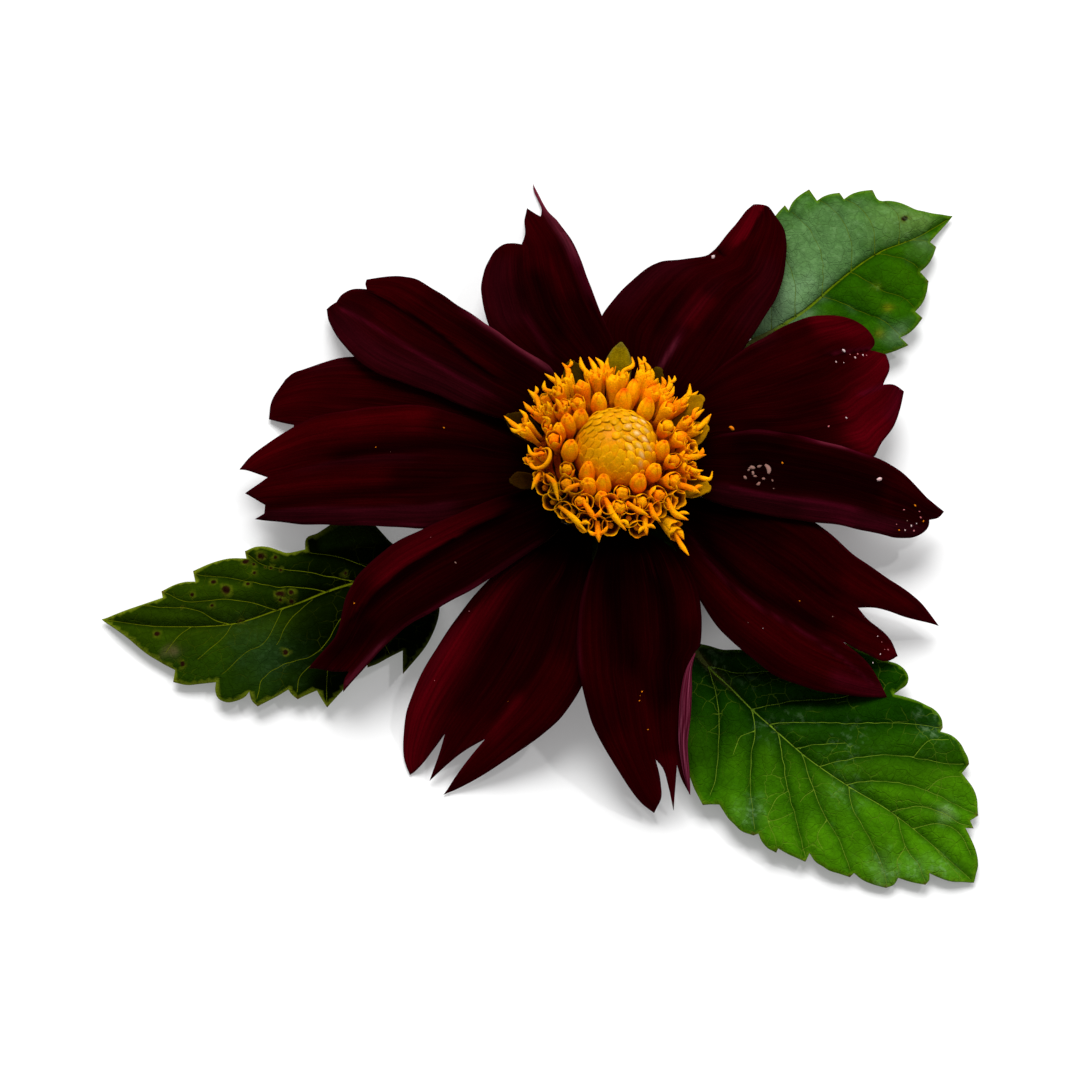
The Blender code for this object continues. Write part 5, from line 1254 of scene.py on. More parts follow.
def receptacle():
    shape = Shape()
    r = 8.8
    profile = Curve1D(((8.45, 1.2), (8.75, 3.0), (9.15, 5.0), (9.7, r - 1.8), (10.6, r - 0.4), (11.6, r)))
    rows, tints = [], []
    ang = np.arange(96) * 2 * math.pi / 96
    for z in np.linspace(8.45, 11.6, 16):
        rr = float(profile(z)) * (1 + 0.012 * np.cos(16 * ang))
        rows.append(np.stack((rr * np.cos(ang), rr * np.sin(ang), np.full(96, z)), axis=-1))
        tints.append(mix((0.045, 0.075, 0.012), (0.020, 0.010, 0.003), float(smooth((z - 9.5) / 2.0))))
    # its top is dark maroon, partly painted shade, as it shows only in the gaps between the ray florets
    for z, rad in ((12.4, r), (13.3, r), (13.8, r - 0.02), (14.3, 8.5), (14.65, 7.4), (14.95, 5.2), (15.1, 2.5), (15.14, 0.6)):
        rr = rad * (1 + 0.006 * np.cos(24 * ang))
        rows.append(np.stack((rr * np.cos(ang), rr * np.sin(ang), np.full(96, z)), axis=-1))
        tints.append((0.050, 0.009, 0.0006))
    shape.rings(rows, tints)
    return shape.piece("flower_base", green_look("base_skin", 0.6, 0.015), ["receptacle"])


def lance(shape, az, foot_r, reach, half, heights, cup, thick, colours, rows=18, wide=11, wave=0.0, seed=0, tip=0.12):
    """A lance-shaped scale pointing outwards from the head."""
    ca, sa = math.cos(math.radians(az)), math.sin(math.radians(az))
    profile = Curve1D(((foot_r, heights[0]), (0.5 * (foot_r + reach), heights[1]), (reach, heights[2])))
    form = Curve1D(((0.0, 0.55), (0.35, 0.95), (0.6, 1.0), (0.85, 0.62), (0.95, 0.34), (1.0, tip)))
    pts, tint, under = [], [], []
    t = np.linspace(-1, 1, wide)
    for i in range(rows + 1):
        s = i / rows
        u = foot_r + (reach - foot_r) * s - 0.35 * half * form(s) * t * t * smooth((s - 0.9) / 0.1)
        v = half * float(form(s)) * t
        z = profile(u) + cup * v * v + wave * ripple(u, v, seed, 5.0) + 0.10 * np.cos(t * 9.0) * thick
        pts.append(np.stack((u * ca - v * sa, u * sa + v * ca, z), axis=-1))
        ribs = 0.5 + 0.5 * np.cos(t * 14.0)
        c = mix(colours[0], colours[1], smooth(s * 1.1))
        c = mix(c, colours[2], 0.35 * ribs)
        c = mix(c, colours[3], 0.8 * smooth((np.abs(t) - 0.75) / 0.25) + 0.0 * t)
        c = mix(c, colours[3], np.full(wide, float(smooth((s - 0.86) / 0.14))) * 0.8)
        tint.append(c)
        under.append(c * 0.9)
    co = np.vstack(pts)
    tri = []
    for i in range(rows):
        for j in range(wide - 1):
            a = i * wide + j
            tri += [(a, a + wide, a + wide + 1), (a, a + wide + 1, a + 1)]
    tri = np.array(tri)
    ring = ([i * wide for i in range(rows + 1)] + [rows * wide + j for j in range(1, wide)]
            + [i * wide + wide - 1 for i in range(rows - 1, -1, -1)] + [j for j in range(wide - 2, 0, -1)])
    if normals_of(co, tri)[:, 2].mean() < 0:
        tri, ring = tri[:, ::-1], ring[::-1]
    edge = np.tile(1 - np.abs(t), rows + 1)
    shape.sheet(co, tri, ring, thick * (0.35 + 0.65 * smooth(edge / 0.35)), np.vstack(tint), np.vstack(under),
                np.tile(np.array((1.0, 1.0, 1.0)), (len(co), 1)) * co)


def bracts():
    papery = green_look("inner_bract_film", 0.5, 0.015)
    fleshy = green_look("outer_bract_skin", 0.6, 0.015)
    for i in range(8):
        shape = Shape()
        # dark, partly painted shade, as they show only in the gaps between the ray florets
        lance(shape, 12 + 45 * i, 9.2, 18.5, 3.2, (10.9, 10.6, 9.8), 0.0, 0.24,
              ((0.020, 0.010, 0.003), (0.045, 0.012, 0.006), (0.018, 0.006, 0.003), (0.080, 0.028, 0.014)), wave=0.05, seed=i)
        shape.piece("bract_inner_%d" % (i + 1), papery, ["inner_bract_%d" % (i + 1)])
    for i in range(5):
        shape = Shape()
        lance(shape, 30 + 72 * i, 4.6, 16.0, 3.0, (8.2, 8.3, 5.8), -0.03, 0.46,
              ((0.014, 0.030, 0.003), (0.018, 0.045, 0.003), (0.010, 0.022, 0.002), (0.040, 0.030, 0.006)), wave=0.08, seed=20 + i)
        shape.piece("bract_outer_%d" % (i + 1), fleshy, ["outer_bract_%d" % (i + 1)])


def paleae():
    mat = disc_look("palea_film", 0.45, 0.0, 0.0, varied=0.0)
    for i, (az, reach) in enumerate(PALEAE):
        shape = Shape()
        rise = 0.45 * (reach - 9.3)
        greenish = ((0.09, 0.052, 0.0003), (0.21, 0.140, 0.0004), (0.12, 0.078, 0.0003), (0.11, 0.090, 0.012))
        olive = ((0.016, 0.007, 0.0002), (0.034, 0.018, 0.0002), (0.022, 0.011, 0.0002), (0.060, 0.034, 0.0004))
        amber = ((0.13, 0.050, 0.0003), (0.28, 0.125, 0.0005), (0.17, 0.074, 0.0003), (0.32, 0.15, 0.001))
        tones = greenish if i == 0 else amber if i in (3, 4, 5) else olive
        if i in (6, 7):
            tones = tuple(mix(tone, (0.010, 0.002, 0.0004), 0.75 if i == 6 else 0.6) for tone in tones)
        lance(shape, az, 9.3, reach, 1.8 if i == 0 else 1.3 if i == 6 else 1.7, (14.75, 14.9 + 0.62 * rise, 14.75 + 1.25 * rise), 0.06, 0.20, tones,
              wave=0.08, seed=40 + i, tip=0.10 if i == 0 else 0.35)
        shape.piece("palea_scale_%d" % (i + 1), mat, ["palea_%d" % (i + 1)])


# ----------------------------------------------------------------------------
# disc
# ----------------------------------------------------------------------------
AMBER = (0.88, 0.270, 0.0002)
GOLD = (0.95, 0.410, 0.0003)
ORANGE = (0.86, 0.135, 0.0002)
# the two darkest colours are painted shade: at the feet of the florets, in their seams, inside their tubes and on the
# floor they stand in
PAINTED_SHADE_ORANGE = (0.40, 0.048, 0.0001)
PAINTED_SHADE_BROWN = (0.045, 0.0065, 0.0002)


def pick_axes(direction, rng):
    return axes_for(direction, rng.uniform(0, 6))


def egg(shape, base, direction, length, belly, rng, cup=False):
    """A closed disc floret: an egg of five lobes on a narrow foot, parted by seams that meet at its tip."""
    z = unit(direction)
    x = unit(np.array((0.0, -1.0, 0.0)) - z * -z[1])
    y = np.cross(z, x)
    turn = math.radians(36) + rng.uniform(-0.35, 0.35)
    x, y = x * math.cos(turn) + y * math.sin(turn), y * math.cos(turn) - x * math.sin(turn)
    tone = mix(AMBER, GOLD, rng.uniform(0.25, 0.95))
    tip = mix(tone, GOLD, rng.uniform(0.2, 0.8))
    seam_tone = mix(PAINTED_SHADE_ORANGE, ORANGE, rng.uniform(0.3, 0.8))
    flush = mix(tip, (0.62, 0.050, 0.0002), rng.uniform(0.0, 1.0))
    sides = 25
    ang = np.arange(sides) * 2 * math.pi / sides
    at_seam = (np.arange(sides) % 5 == 0).astype(float)
    beside = ((np.arange(sides) % 5 == 1) | (np.arange(sides) % 5 == 4)).astype(float)
    rows, tints = [], []
    for h, r, seam in ((0.0, 0.42, 0), (0.25, 0.50, 0), (0.38, 0.74, 0.0), (0.48, 0.93, 0.01), (0.57, 1.0, 0.02), (0.66, 0.98, 0.05),
                       (0.74, 0.93, 0.06), (0.82, 0.83, 0.09), (0.89, 0.68, 0.13), (0.95, 0.49, 0.18), (0.99, 0.29, 0.22), (0.95, 0.08, 0.0)):
        rr = r * belly * (1 - seam * at_seam - 0.25 * seam * beside)
        hh = h * length + 0.02 * length * np.sin(ang * 2 + belly * 9) * r
        rows.append(base + np.outer(rr * np.cos(ang), x) + np.outer(rr * np.sin(ang), y) + np.outer(hh, z))
        body = mix(mix(PAINTED_SHADE_ORANGE, tone, min(1.0, 0.35 + h * 1.15)), tip, float(smooth((h - 0.70) / 0.2)))
        body = mix(body, flush, 0.85 * float(smooth((h - 0.90) / 0.09)))
        tint = mix(np.broadcast_to(body, (sides, 3)), seam_tone, at_seam * min(1.0, seam * 5) * 0.75)
        tints.append(mix(tint, PAINTED_SHADE_ORANGE, np.full(sides, 0.8)) if r < 0.1 else tint)
    shape.rings(rows, tints)


def tube(shape, base, direction, length, mouth, rng, lobes=0.45, turn=0.0, dark=0.6, thin=0.0):
    """An open disc floret: a tube that widens to a mouth with five pointed lobes; turn bends them in (<0) or out."""
    x, y, z = pick_axes(direction, rng)
    tone = mix(AMBER, GOLD, rng.uniform(0.0, 0.8))
    wall = mix(tone, (0.34, 0.135, 0.0004), thin)
    edge = mix(tone, GOLD, rng.uniform(0.3, 0.9))
    # painted shade inside the mouth, as deep as dark says
    inner = mix(ORANGE, PAINTED_SHADE_BROWN, dark)
    sides = 25
    ang = np.arange(sides) * 2 * math.pi / sides
    peak = np.array((0.0, 0.55, 1.0, 1.0, 0.55))[np.arange(sides) % 5] ** 1.0
    peak = peak * rng.uniform(0.75, 1.2, 5)[np.arange(sides) // 5]
    wave = 1 + 0.05 * np.sin(2 * ang + rng.uniform(0, 6)) + 0.03 * np.sin(3 * ang + rng.uniform(0, 6))
    rows, tints = [], []
    for h, r, lobe, out, tint in (
            (0.0, 0.36, 0, 0, mix(PAINTED_SHADE_ORANGE, wall, 0.4)), (0.35, 0.44, 0, 0, mix(PAINTED_SHADE_ORANGE, wall, 0.6)), (0.55, 0.64, 0, 0, mix(PAINTED_SHADE_ORANGE, wall, 0.85)),
            (0.72, 0.86, 0, 0, wall), (0.86, 0.97, 0, 0, wall), (0.94, 1.0, 0.25, 0.3, mix(wall, edge, 0.6)), (0.98, 1.01, 1.0, 1.0, edge),
            (0.972, 0.965, 0.92, 0.9, edge), (0.92, 0.90, 0.2, 0.2, mix(edge, inner, 0.55)), (0.82, 0.80, 0, 0, inner),
            (0.66, 0.58, 0, 0, mix(inner, PAINTED_SHADE_BROWN, 0.5)), (0.45, 0.30, 0, 0, PAINTED_SHADE_BROWN)):
        rr = r * mouth * wave + turn * out * peak
        hh = h * length + lobes * lobe * peak
        rows.append(base + np.outer(rr * np.cos(ang), x) + np.outer(rr * np.sin(ang), y) + np.outer(hh, z))
        tints.append(tint)
    shape.rings(rows, tints)


def knob(shape, base, direction, start, stop, wide, rng, tone=None):
    """The blunt, knobbly top of an anther tube."""
    x, y, z = pick_axes(direction, rng)
    tone = mix(ORANGE, GOLD, rng.uniform(0.0, 0.7)) if tone is None else tone
    sides = 15
    ang = np.arange(sides) * 2 * math.pi / sides
    rough = 1 + 0.10 * np.cos(5 * ang) + rng.uniform(-0.10, 0.10, sides)
    rows, tints = [], []
    for f, r in ((0.0, 0.62), (0.25, 0.70), (0.50, 0.86), (0.70, 1.0), (0.84, 0.96), (0.93, 0.74), (1.0, 0.44), (1.0, 0.12)):
        rr = r * wide * (1 + (rough - 1) * min(1.0, 2 * f) + rng.uniform(-0.05, 0.05, sides) * (0.2 < f < 1))
        hh = start + (stop - start) * f + rng.uniform(-0.06, 0.06, sides) * (0.6 < f)
        rows.append(base + np.outer(rr * np.cos(ang), x) + np.outer(rr * np.sin(ang), y) + np.outer(hh, z))
        body = mix(mix(PAINTED_SHADE_ORANGE, tone, min(1.0, 0.25 + f)), GOLD, 0.45 * f)
        tints.append(mix(np.broadcast_to(body, (sides, 3)), PAINTED_SHADE_ORANGE, 0.35 * (np.arange(sides) % 3 == 0)))
    shape.rings(rows, tints)


def spike(shape, pts, wide, rng, pale=0.5, end=0.35):
    """A style or one of its arms: a fleshy rod, thickest towards its end, that tapers to a point."""
    line = np.array(flowing(pts, 0.35, corner=180))
    n = len(line)
    tone = mix(AMBER, GOLD, 0.3 + 0.7 * pale)
    root = mix(ORANGE, tone, 0.4)
    radii, tints = [], []
    wob = rng.uniform(0, 6)
    for i in range(n):
        f = i / (n - 1)
        r = wide * (0.72 + 0.34 * math.sin(math.pi * min(1.0, f * 0.85) ** 1.2)) * (1 - (1 - end) * float(smooth((f - 0.62) / 0.38)))
        radii.append(r * (1 + 0.07 * math.sin(f * 9 + wob)))
        tints.append(mix(mix(root, tone, min(1.0, f * 1.6)), (0.70, 0.20, 0.001), 0.45 * float(smooth((f - 0.86) / 0.14))))
    radii[-1] *= 0.45
    rod(shape, line, radii, tints, sides=10, lobes=4, depth=0.07, flat=0.88)


# Styles as seen from the front, in the order root .. tip; (x, y) as if all lay at the height of the disc's rim
STYLES = (
    (0.36, ((-2.1, 10.9), (-3.2, 12.4), (-3.4, 13.7))),
    (0.38, ((-1.3, 10.2), (-1.5, 12.0), (-2.3, 13.7))),
    (0.34, ((-0.6, 11.0), (-0.5, 12.4), (-1.4, 13.6))),
    (0.30, ((0.4, 11.4), (0.1, 12.6), (0.3, 13.7))),
    (0.33, ((2.0, 10.2), (2.3, 11.6), (3.5, 12.4), (3.4, 13.7))),
    (0.36, ((4.9, 11.0), (4.7, 12.4), (4.2, 13.7))),
    (0.34, ((5.6, 10.8), (5.6, 12.0), (5.1, 13.0))),
    (0.33, ((5.9, 9.9), (6.1, 11.0), (6.0, 11.9))),
    (0.36, ((7.5, 8.2), (8.4, 9.5), (8.2, 10.9))),
    (0.32, ((7.9, 7.4), (8.6, 8.3), (8.9, 9.3))),
    (0.36, ((9.6, 6.3), (10.9, 8.2), (11.0, 9.7))),
    (0.30, ((10.6, 7.2), (11.4, 7.9), (12.1, 8.6))),
    (0.40, ((10.2, 3.7), (11.6, 4.9), (12.8, 5.9))),
    (0.38, ((11.5, 2.7), (12.8, 3.9), (13.7, 5.2))),
    (0.40, ((10.2, -1.2), (11.6, -1.1), (12.9, -0.8))),
    (0.32, ((10.9, -3.5), (12.3, -4.2), (13.4, -4.3), (13.7, -3.2))),
    (0.34, ((10.5, -2.6), (11.4, -3.2), (12.5, -3.1))),
    (0.46, ((9.4, -5.2), (10.8, -5.7), (12.1, -6.4))),
    (0.40, ((7.9, -7.5), (8.6, -9.2), (10.5, -10.3))),
    (0.34, ((8.7, -12.0), (9.4, -13.6), (10.5, -15.4))),
    (0.38, ((8.6, -11.2), (9.3, -11.9), (9.9, -13.1))),
    (0.36, ((5.6, -8.3), (6.0, -9.6), (6.9, -10.6))),
    (0.38, ((4.9, -9.9), (4.9, -11.2), (5.1, -12.5))),
    (0.42, ((-0.1, -7.6), (0.9, -9.8), (2.4, -11.8))),
    (0.36, ((2.8, -8.0), (4.0, -8.9), (5.3, -9.6))),
    (0.40, ((-1.3, -10.9), (-1.2, -12.2), (-1.1, -13.5))),
    (0.38, ((-3.1, -7.5), (-2.3, -9.0), (-1.4, -10.4))),
    (0.38, ((-6.0, -8.5), (-4.4, -10.0), (-2.7, -12.0))),
    (0.34, ((-8.8, -3.7), (-9.3, -4.8), (-9.8, -5.9))),
    (0.34, ((-7.7, -4.0), (-6.9, -4.9), (-6.6, -6.3), (-6.3, -7.6))),
    (0.36, ((-4.0, -5.3), (-4.9, -5.7), (-5.7, -6.3))),
    (0.32, ((-10.3, -1.6), (-9.3, -2.8), (-8.0, -2.3), (-7.4, -1.0), (-7.6, 0.0), (-8.6, -0.1))),
    (0.30, ((-8.5, -0.7), (-9.7, -0.8), (-10.3, 0.6))),
    (0.36, ((-10.6, 2.4), (-12.0, 3.5), (-13.4, 4.9))),
    (0.30, ((-10.6, 3.5), (-10.6, 4.9), (-11.4, 5.8))),
    (0.32, ((-9.1, 5.1), (-10.0, 5.8), (-10.9, 7.0))),
    (0.38, ((-8.7, 5.8), (-9.2, 7.5), (-10.3, 8.8))),
    (0.32, ((-5.7, 9.2), (-6.9, 10.2), (-8.1, 11.2))),
    (0.34, ((-6.9, 8.4), (-8.1, 8.9), (-8.1, 10.1))),
    (0.36, ((-5.1, 10.2), (-5.0, 11.7), (-5.8, 12.8))),
    (0.34, ((-6.3, 7.9), (-6.2, 9.8), (-6.8, 11.3))),
    (0.30, ((-7.8, 3.4), (-7.6, 4.3), (-8.5, 4.7))),
    (0.34, ((-5.9, 5.6), (-6.2, 6.6), (-6.7, 7.4))),
    (0.32, ((-7.5, 5.5), (-7.5, 6.3), (-7.8, 7.0))),
    (0.34, ((7.3, 8.9), (7.6, 9.8), (7.3, 10.7))),
)
# Shorter second arms of some of those styles
ARMS = (
    (0.28, ((-1.7, -9.8), (-1.1, -9.4), (-0.8, -8.7))), (0.28, ((-1.1, -12.3), (-0.4, -11.9), (0.0, -11.2))),
    (0.26, ((-1.2, -12.2), (-1.9, -12.3), (-2.5, -11.8))), (0.28, ((1.5, -10.6), (2.3, -10.5), (2.7, -11.3))),
    (0.26, ((4.9, -11.3), (5.6, -11.1), (6.2, -11.5))), (0.26, ((4.9, -11.3), (4.3, -11.6), (4.0, -12.2))),
    (0.26, ((11.3, 4.6), (11.5, 5.6), (12.2, 6.2))), (0.26, ((12.0, -1.0), (12.4, -0.4), (12.5, 0.2))),
    (0.26, ((-10.9, 2.8), (-11.9, 2.6), (-12.6, 3.1))), (0.24, ((-9.6, 7.9), (-9.1, 8.6), (-9.3, 9.3))),
    (0.24, ((4.6, 12.6), (5.1, 13.2), (4.9, 13.8))), (0.24, ((-5.2, 12.0), (-4.6, 12.6), (-4.7, 13.3))),
    (0.24, ((9.0, -9.5), (9.9, -9.2), (10.6, -9.4))), (0.24, ((-3.6, -10.9), (-2.8, -10.6), (-2.2, -10.9))),
    (0.24, ((11.2, -5.9), (11.9, -5.4), (12.4, -5.3))), (0.22, ((8.4, 9.8), (9.0, 10.3), (9.0, 10.9))),
)
# Florets of the two inner whorls, seen the same way: (x, y, closed)
INNER = (
    (2.3, 8.1, 1), (5.6, 6.8, 1), (8.0, 3.5, 0), (7.5, 0.3, 1), (6.4, -3.2, 1), (4.2, -4.7, 1), (1.9, -6.3, 0), (-0.5, -4.6, 1),
    (-2.4, -2.7, 1), (-2.7, -5.4, 1), (-4.6, 0.4, 1), (-3.3, 4.8, 1), (-5.3, 4.2, 1), (-1.1, 7.4, 1), (-3.9, 7.2, 0),
)
SECOND = (
    (0.9, 10.6, 0), (3.8, 9.8, 1), (6.3, 8.8, 0), (8.5, 6.4, 0), (9.9, 1.9, 0), (8.9, -1.5, 0), (8.9, -4.6, 0), (6.8, -6.7, 0),
    (4.5, -7.7, 0), (1.6, -8.6, 0), (-0.8, -7.2, 1), (-3.6, -7.6, 0), (-5.2, -2.8, 0), (-5.4, -5.0, 0), (-7.0, 1.7, 0),
    (-6.3, 3.0, 1), (-5.8, 6.7, 0), (-3.4, 9.7, 0),
)


def mouth_height(r):
    return float(np.interp(r, (5.0, 6.5, 8.0, 10.0, 11.5, 13.0, 15.5), (20.4, 20.2, 19.7, 18.8, 17.8, 16.9, 16.0)))


def in_place(x, y, up=0.0):
    """Where a point seen at (x, y) really is, once its height is known."""
    yy = y
    for _ in range(3):
        z = mouth_height(math.hypot(x, yy)) + up
        yy = y - 0.49 * (z - 19.0)
    return np.array((x, yy, z))


def ring_centre(k):
    """The open disc isn't quite round: its inner whorls sit a little to the far right."""
    return {0: (1.15, 0.75), 1: (1.05, 0.70), 2: (0.75, 0.45), 3: (0.40, 0.20), 4: (0.0, 0.0)}[k]


def foot_of(k, tip):
    """The foot of a floret of whorl k whose mouth is at tip."""
    _, rf, zf, _, _ = FLORET_RINGS[k - 1]
    cx, cy = ring_centre(k)
    d = np.array((tip[0] - cx * 0.6, tip[1] - cy * 0.6))
    d = d / max(np.hypot(*d), 1e-9)
    return np.array((d[0] * rf + cx * 0.6, d[1] * rf + cy * 0.6, zf))


def floret_ring(k):
    n, rf, zf, rt, zt = FLORET_RINGS[k - 1]
    rng = np.random.default_rng(100 + k)
    shape = Shape()
    cx, cy = ring_centre(k)
    if k < 3:
        for x, y, closed in (INNER, SECOND)[k - 1]:
            tip = in_place(x, y, 0.25 if k == 1 else 0.1)
            foot = foot_of(k, tip)
            if closed:
                tip = tip + (0, 0.75, 0.15)
                foot = foot + (0, -0.55, 0)
            way = tip - foot
            length = float(np.linalg.norm(way))
            if closed:
                egg(shape, foot, way, length * (0.98 if k == 1 else 0.96), rng.uniform(1.04, 1.17) * (1.0 if k == 1 else 0.92), rng)
            else:
                wide = rng.uniform(1.02, 1.2)
                tube(shape, foot, way, length * 0.93, wide, rng, lobes=rng.uniform(0.45, 0.75), turn=rng.uniform(-0.30, -0.12), dark=0.45)
                knob(shape, foot, way, length * 0.45, length * rng.uniform(1.02, 1.10), wide * rng.uniform(0.62, 0.78), rng)
    else:
        # the florets whose styles are out; a style belongs to the outer whorl when its root is far out
        order = sorted(STYLES, key=lambda item: math.hypot(item[1][0][0], item[1][0][1]))
        mine = order[:21] if k == 3 else order[21:]
        for wide, line in mine:
            root = in_place(line[0][0], line[0][1])
            low = float(smooth(-root[1] / 9.0 + 0.15))
            side = 1.0 - low
            foot = foot_of(k, root)
            end = in_place(line[-1][0], line[-1][1])
            lean = (end - root)[:2]
            mouth = root + np.array((lean[0], lean[1], 0.0)) * 0.10 - np.array((0, 0, 0.1))
            way = mouth - foot
            length = float(np.linalg.norm(way))
            big = rng.uniform(1.10, 1.30) * low + rng.uniform(0.75, 0.92) * side
            if root[0] > 7.5:
                big = min(big, 0.95)
            if root[0] < -6.5:
                big = min(big, 0.72)
            # painted shade in the mouths: deepest on the low florets, less on the lower right
            tube(shape, foot, way, length, big, rng, lobes=0.30 * low + rng.uniform(0.45, 0.8) * side,
                 turn=0.10 * low + rng.uniform(-0.12, 0.12) * side, dark=0.55 + 0.35 * low - 0.45 * low * float(smooth((root[0] - 3.0) / 3.0)),
                 thin=0.55 * low)
            knob(shape, foot, way, length * 0.45, length * (0.96 * low + 1.05 * side), wide * (1.05 * low + 1.35 * side), rng)
            rise = 0.55 * low + 1.25 * side
            m = len(line) - 1
            pts = [in_place(x, y, rise * (i / m) ** 0.8 - 0.15 * (1 - i / m)) for i, (x, y) in enumerate(line)]
            pts = [pts[0] - unit(pts[1] - pts[0]) * 0.4] + pts
            spike(shape, pts, wide * 0.93, rng, pale=rng.uniform(0.2, 1.0))
        if k == 4:
            for wide, line in ARMS:
                m = len(line) - 1
                low = float(smooth(-line[0][1] / 9.0 + 0.15))
                pts = [in_place(x, y, (0.40 * low + 0.9 * (1 - low)) + 0.3 * i / m) for i, (x, y) in enumerate(line)]
                spike(shape, pts, wide, rng, pale=rng.uniform(0.3, 1.0), end=0.45)
        # more open florets stand between them, their styles short
        gaps = {3: ((6.7, -8.8), (-4.8, -9.3), (0.3, -9.2), (-6.4, -6.2)),
                4: ((9.2, -7.3), (0.4, -11.2), (2.8, -10.0), (-3.0, -10.6), (4.0, -11.6), (-8.6, 7.6), (10.9, 0.6), (11.3, -0.2), (-8.2, -5.4), (-7.2, -7.6))}[k]
        for x, y in gaps:
            tip = in_place(x, y, -0.25)
            low = float(smooth(-tip[1] / 9.0 + 0.15))
            foot = foot_of(k, tip)
            way = tip - foot
            length = float(np.linalg.norm(way))
            tube(shape, foot, way, length, 1.05 + 0.15 * low, rng, lobes=0.3, turn=0.08, dark=0.9, thin=0.5 * low)
            knob(shape, foot, way, length * 0.45, length * 0.92, 0.42, rng)
    # the floor that the florets stand in, painted dark as shade
    ang = np.arange(72) * 2 * math.pi / 72
    rows = []
    for dr, dz in ((-0.45, -0.3), (0.45, -0.3), (0.45, 0.25), (-0.45, 0.3)):
        rr = (rf + dr) * (1 + 0.01 * np.cos(n * ang))
        rows.append(np.stack((rr * np.cos(ang) + cx * 0.6, rr * np.sin(ang) + cy * 0.6, np.full(72, zf + dz)), axis=-1))
    co = np.vstack(rows)
    faces = []
    for i in range(4):
        for j in range(72):
            a, b = i * 72 + j, i * 72 + (j + 1) % 72
            c, d = ((i + 1) % 4) * 72 + (j + 1) % 72, ((i + 1) % 4) * 72 + j
            faces.append((a, b, c, d))
    shape.add(co, faces, mix(PAINTED_SHADE_ORANGE, PAINTED_SHADE_BROWN, 0.6))
    # painted shade: darker on the lower left and, a little, on the upper left, where the petals' shade lies
    co = np.vstack(shape.co)
    shade = 1 - 0.42 * np.exp(-((co[:, 0] + 7.0)**2 + (co[:, 1] + 6.5)**2) / 14.0) - 0.24 * np.exp(-((co[:, 0] + 8.0)**2 + (co[:, 1] - 8.0)**2) / 12.0)
    shape.tint = [np.vstack(shape.tint) * shade[:, None]]
    return shape.piece("florets_whorl_%d" % k, disc_look("floret_flesh_%d" % k, 0.45, 0.012, 0.0, grainy=1.5, varied=0.75), ["disc_florets_ring_%d" % k])


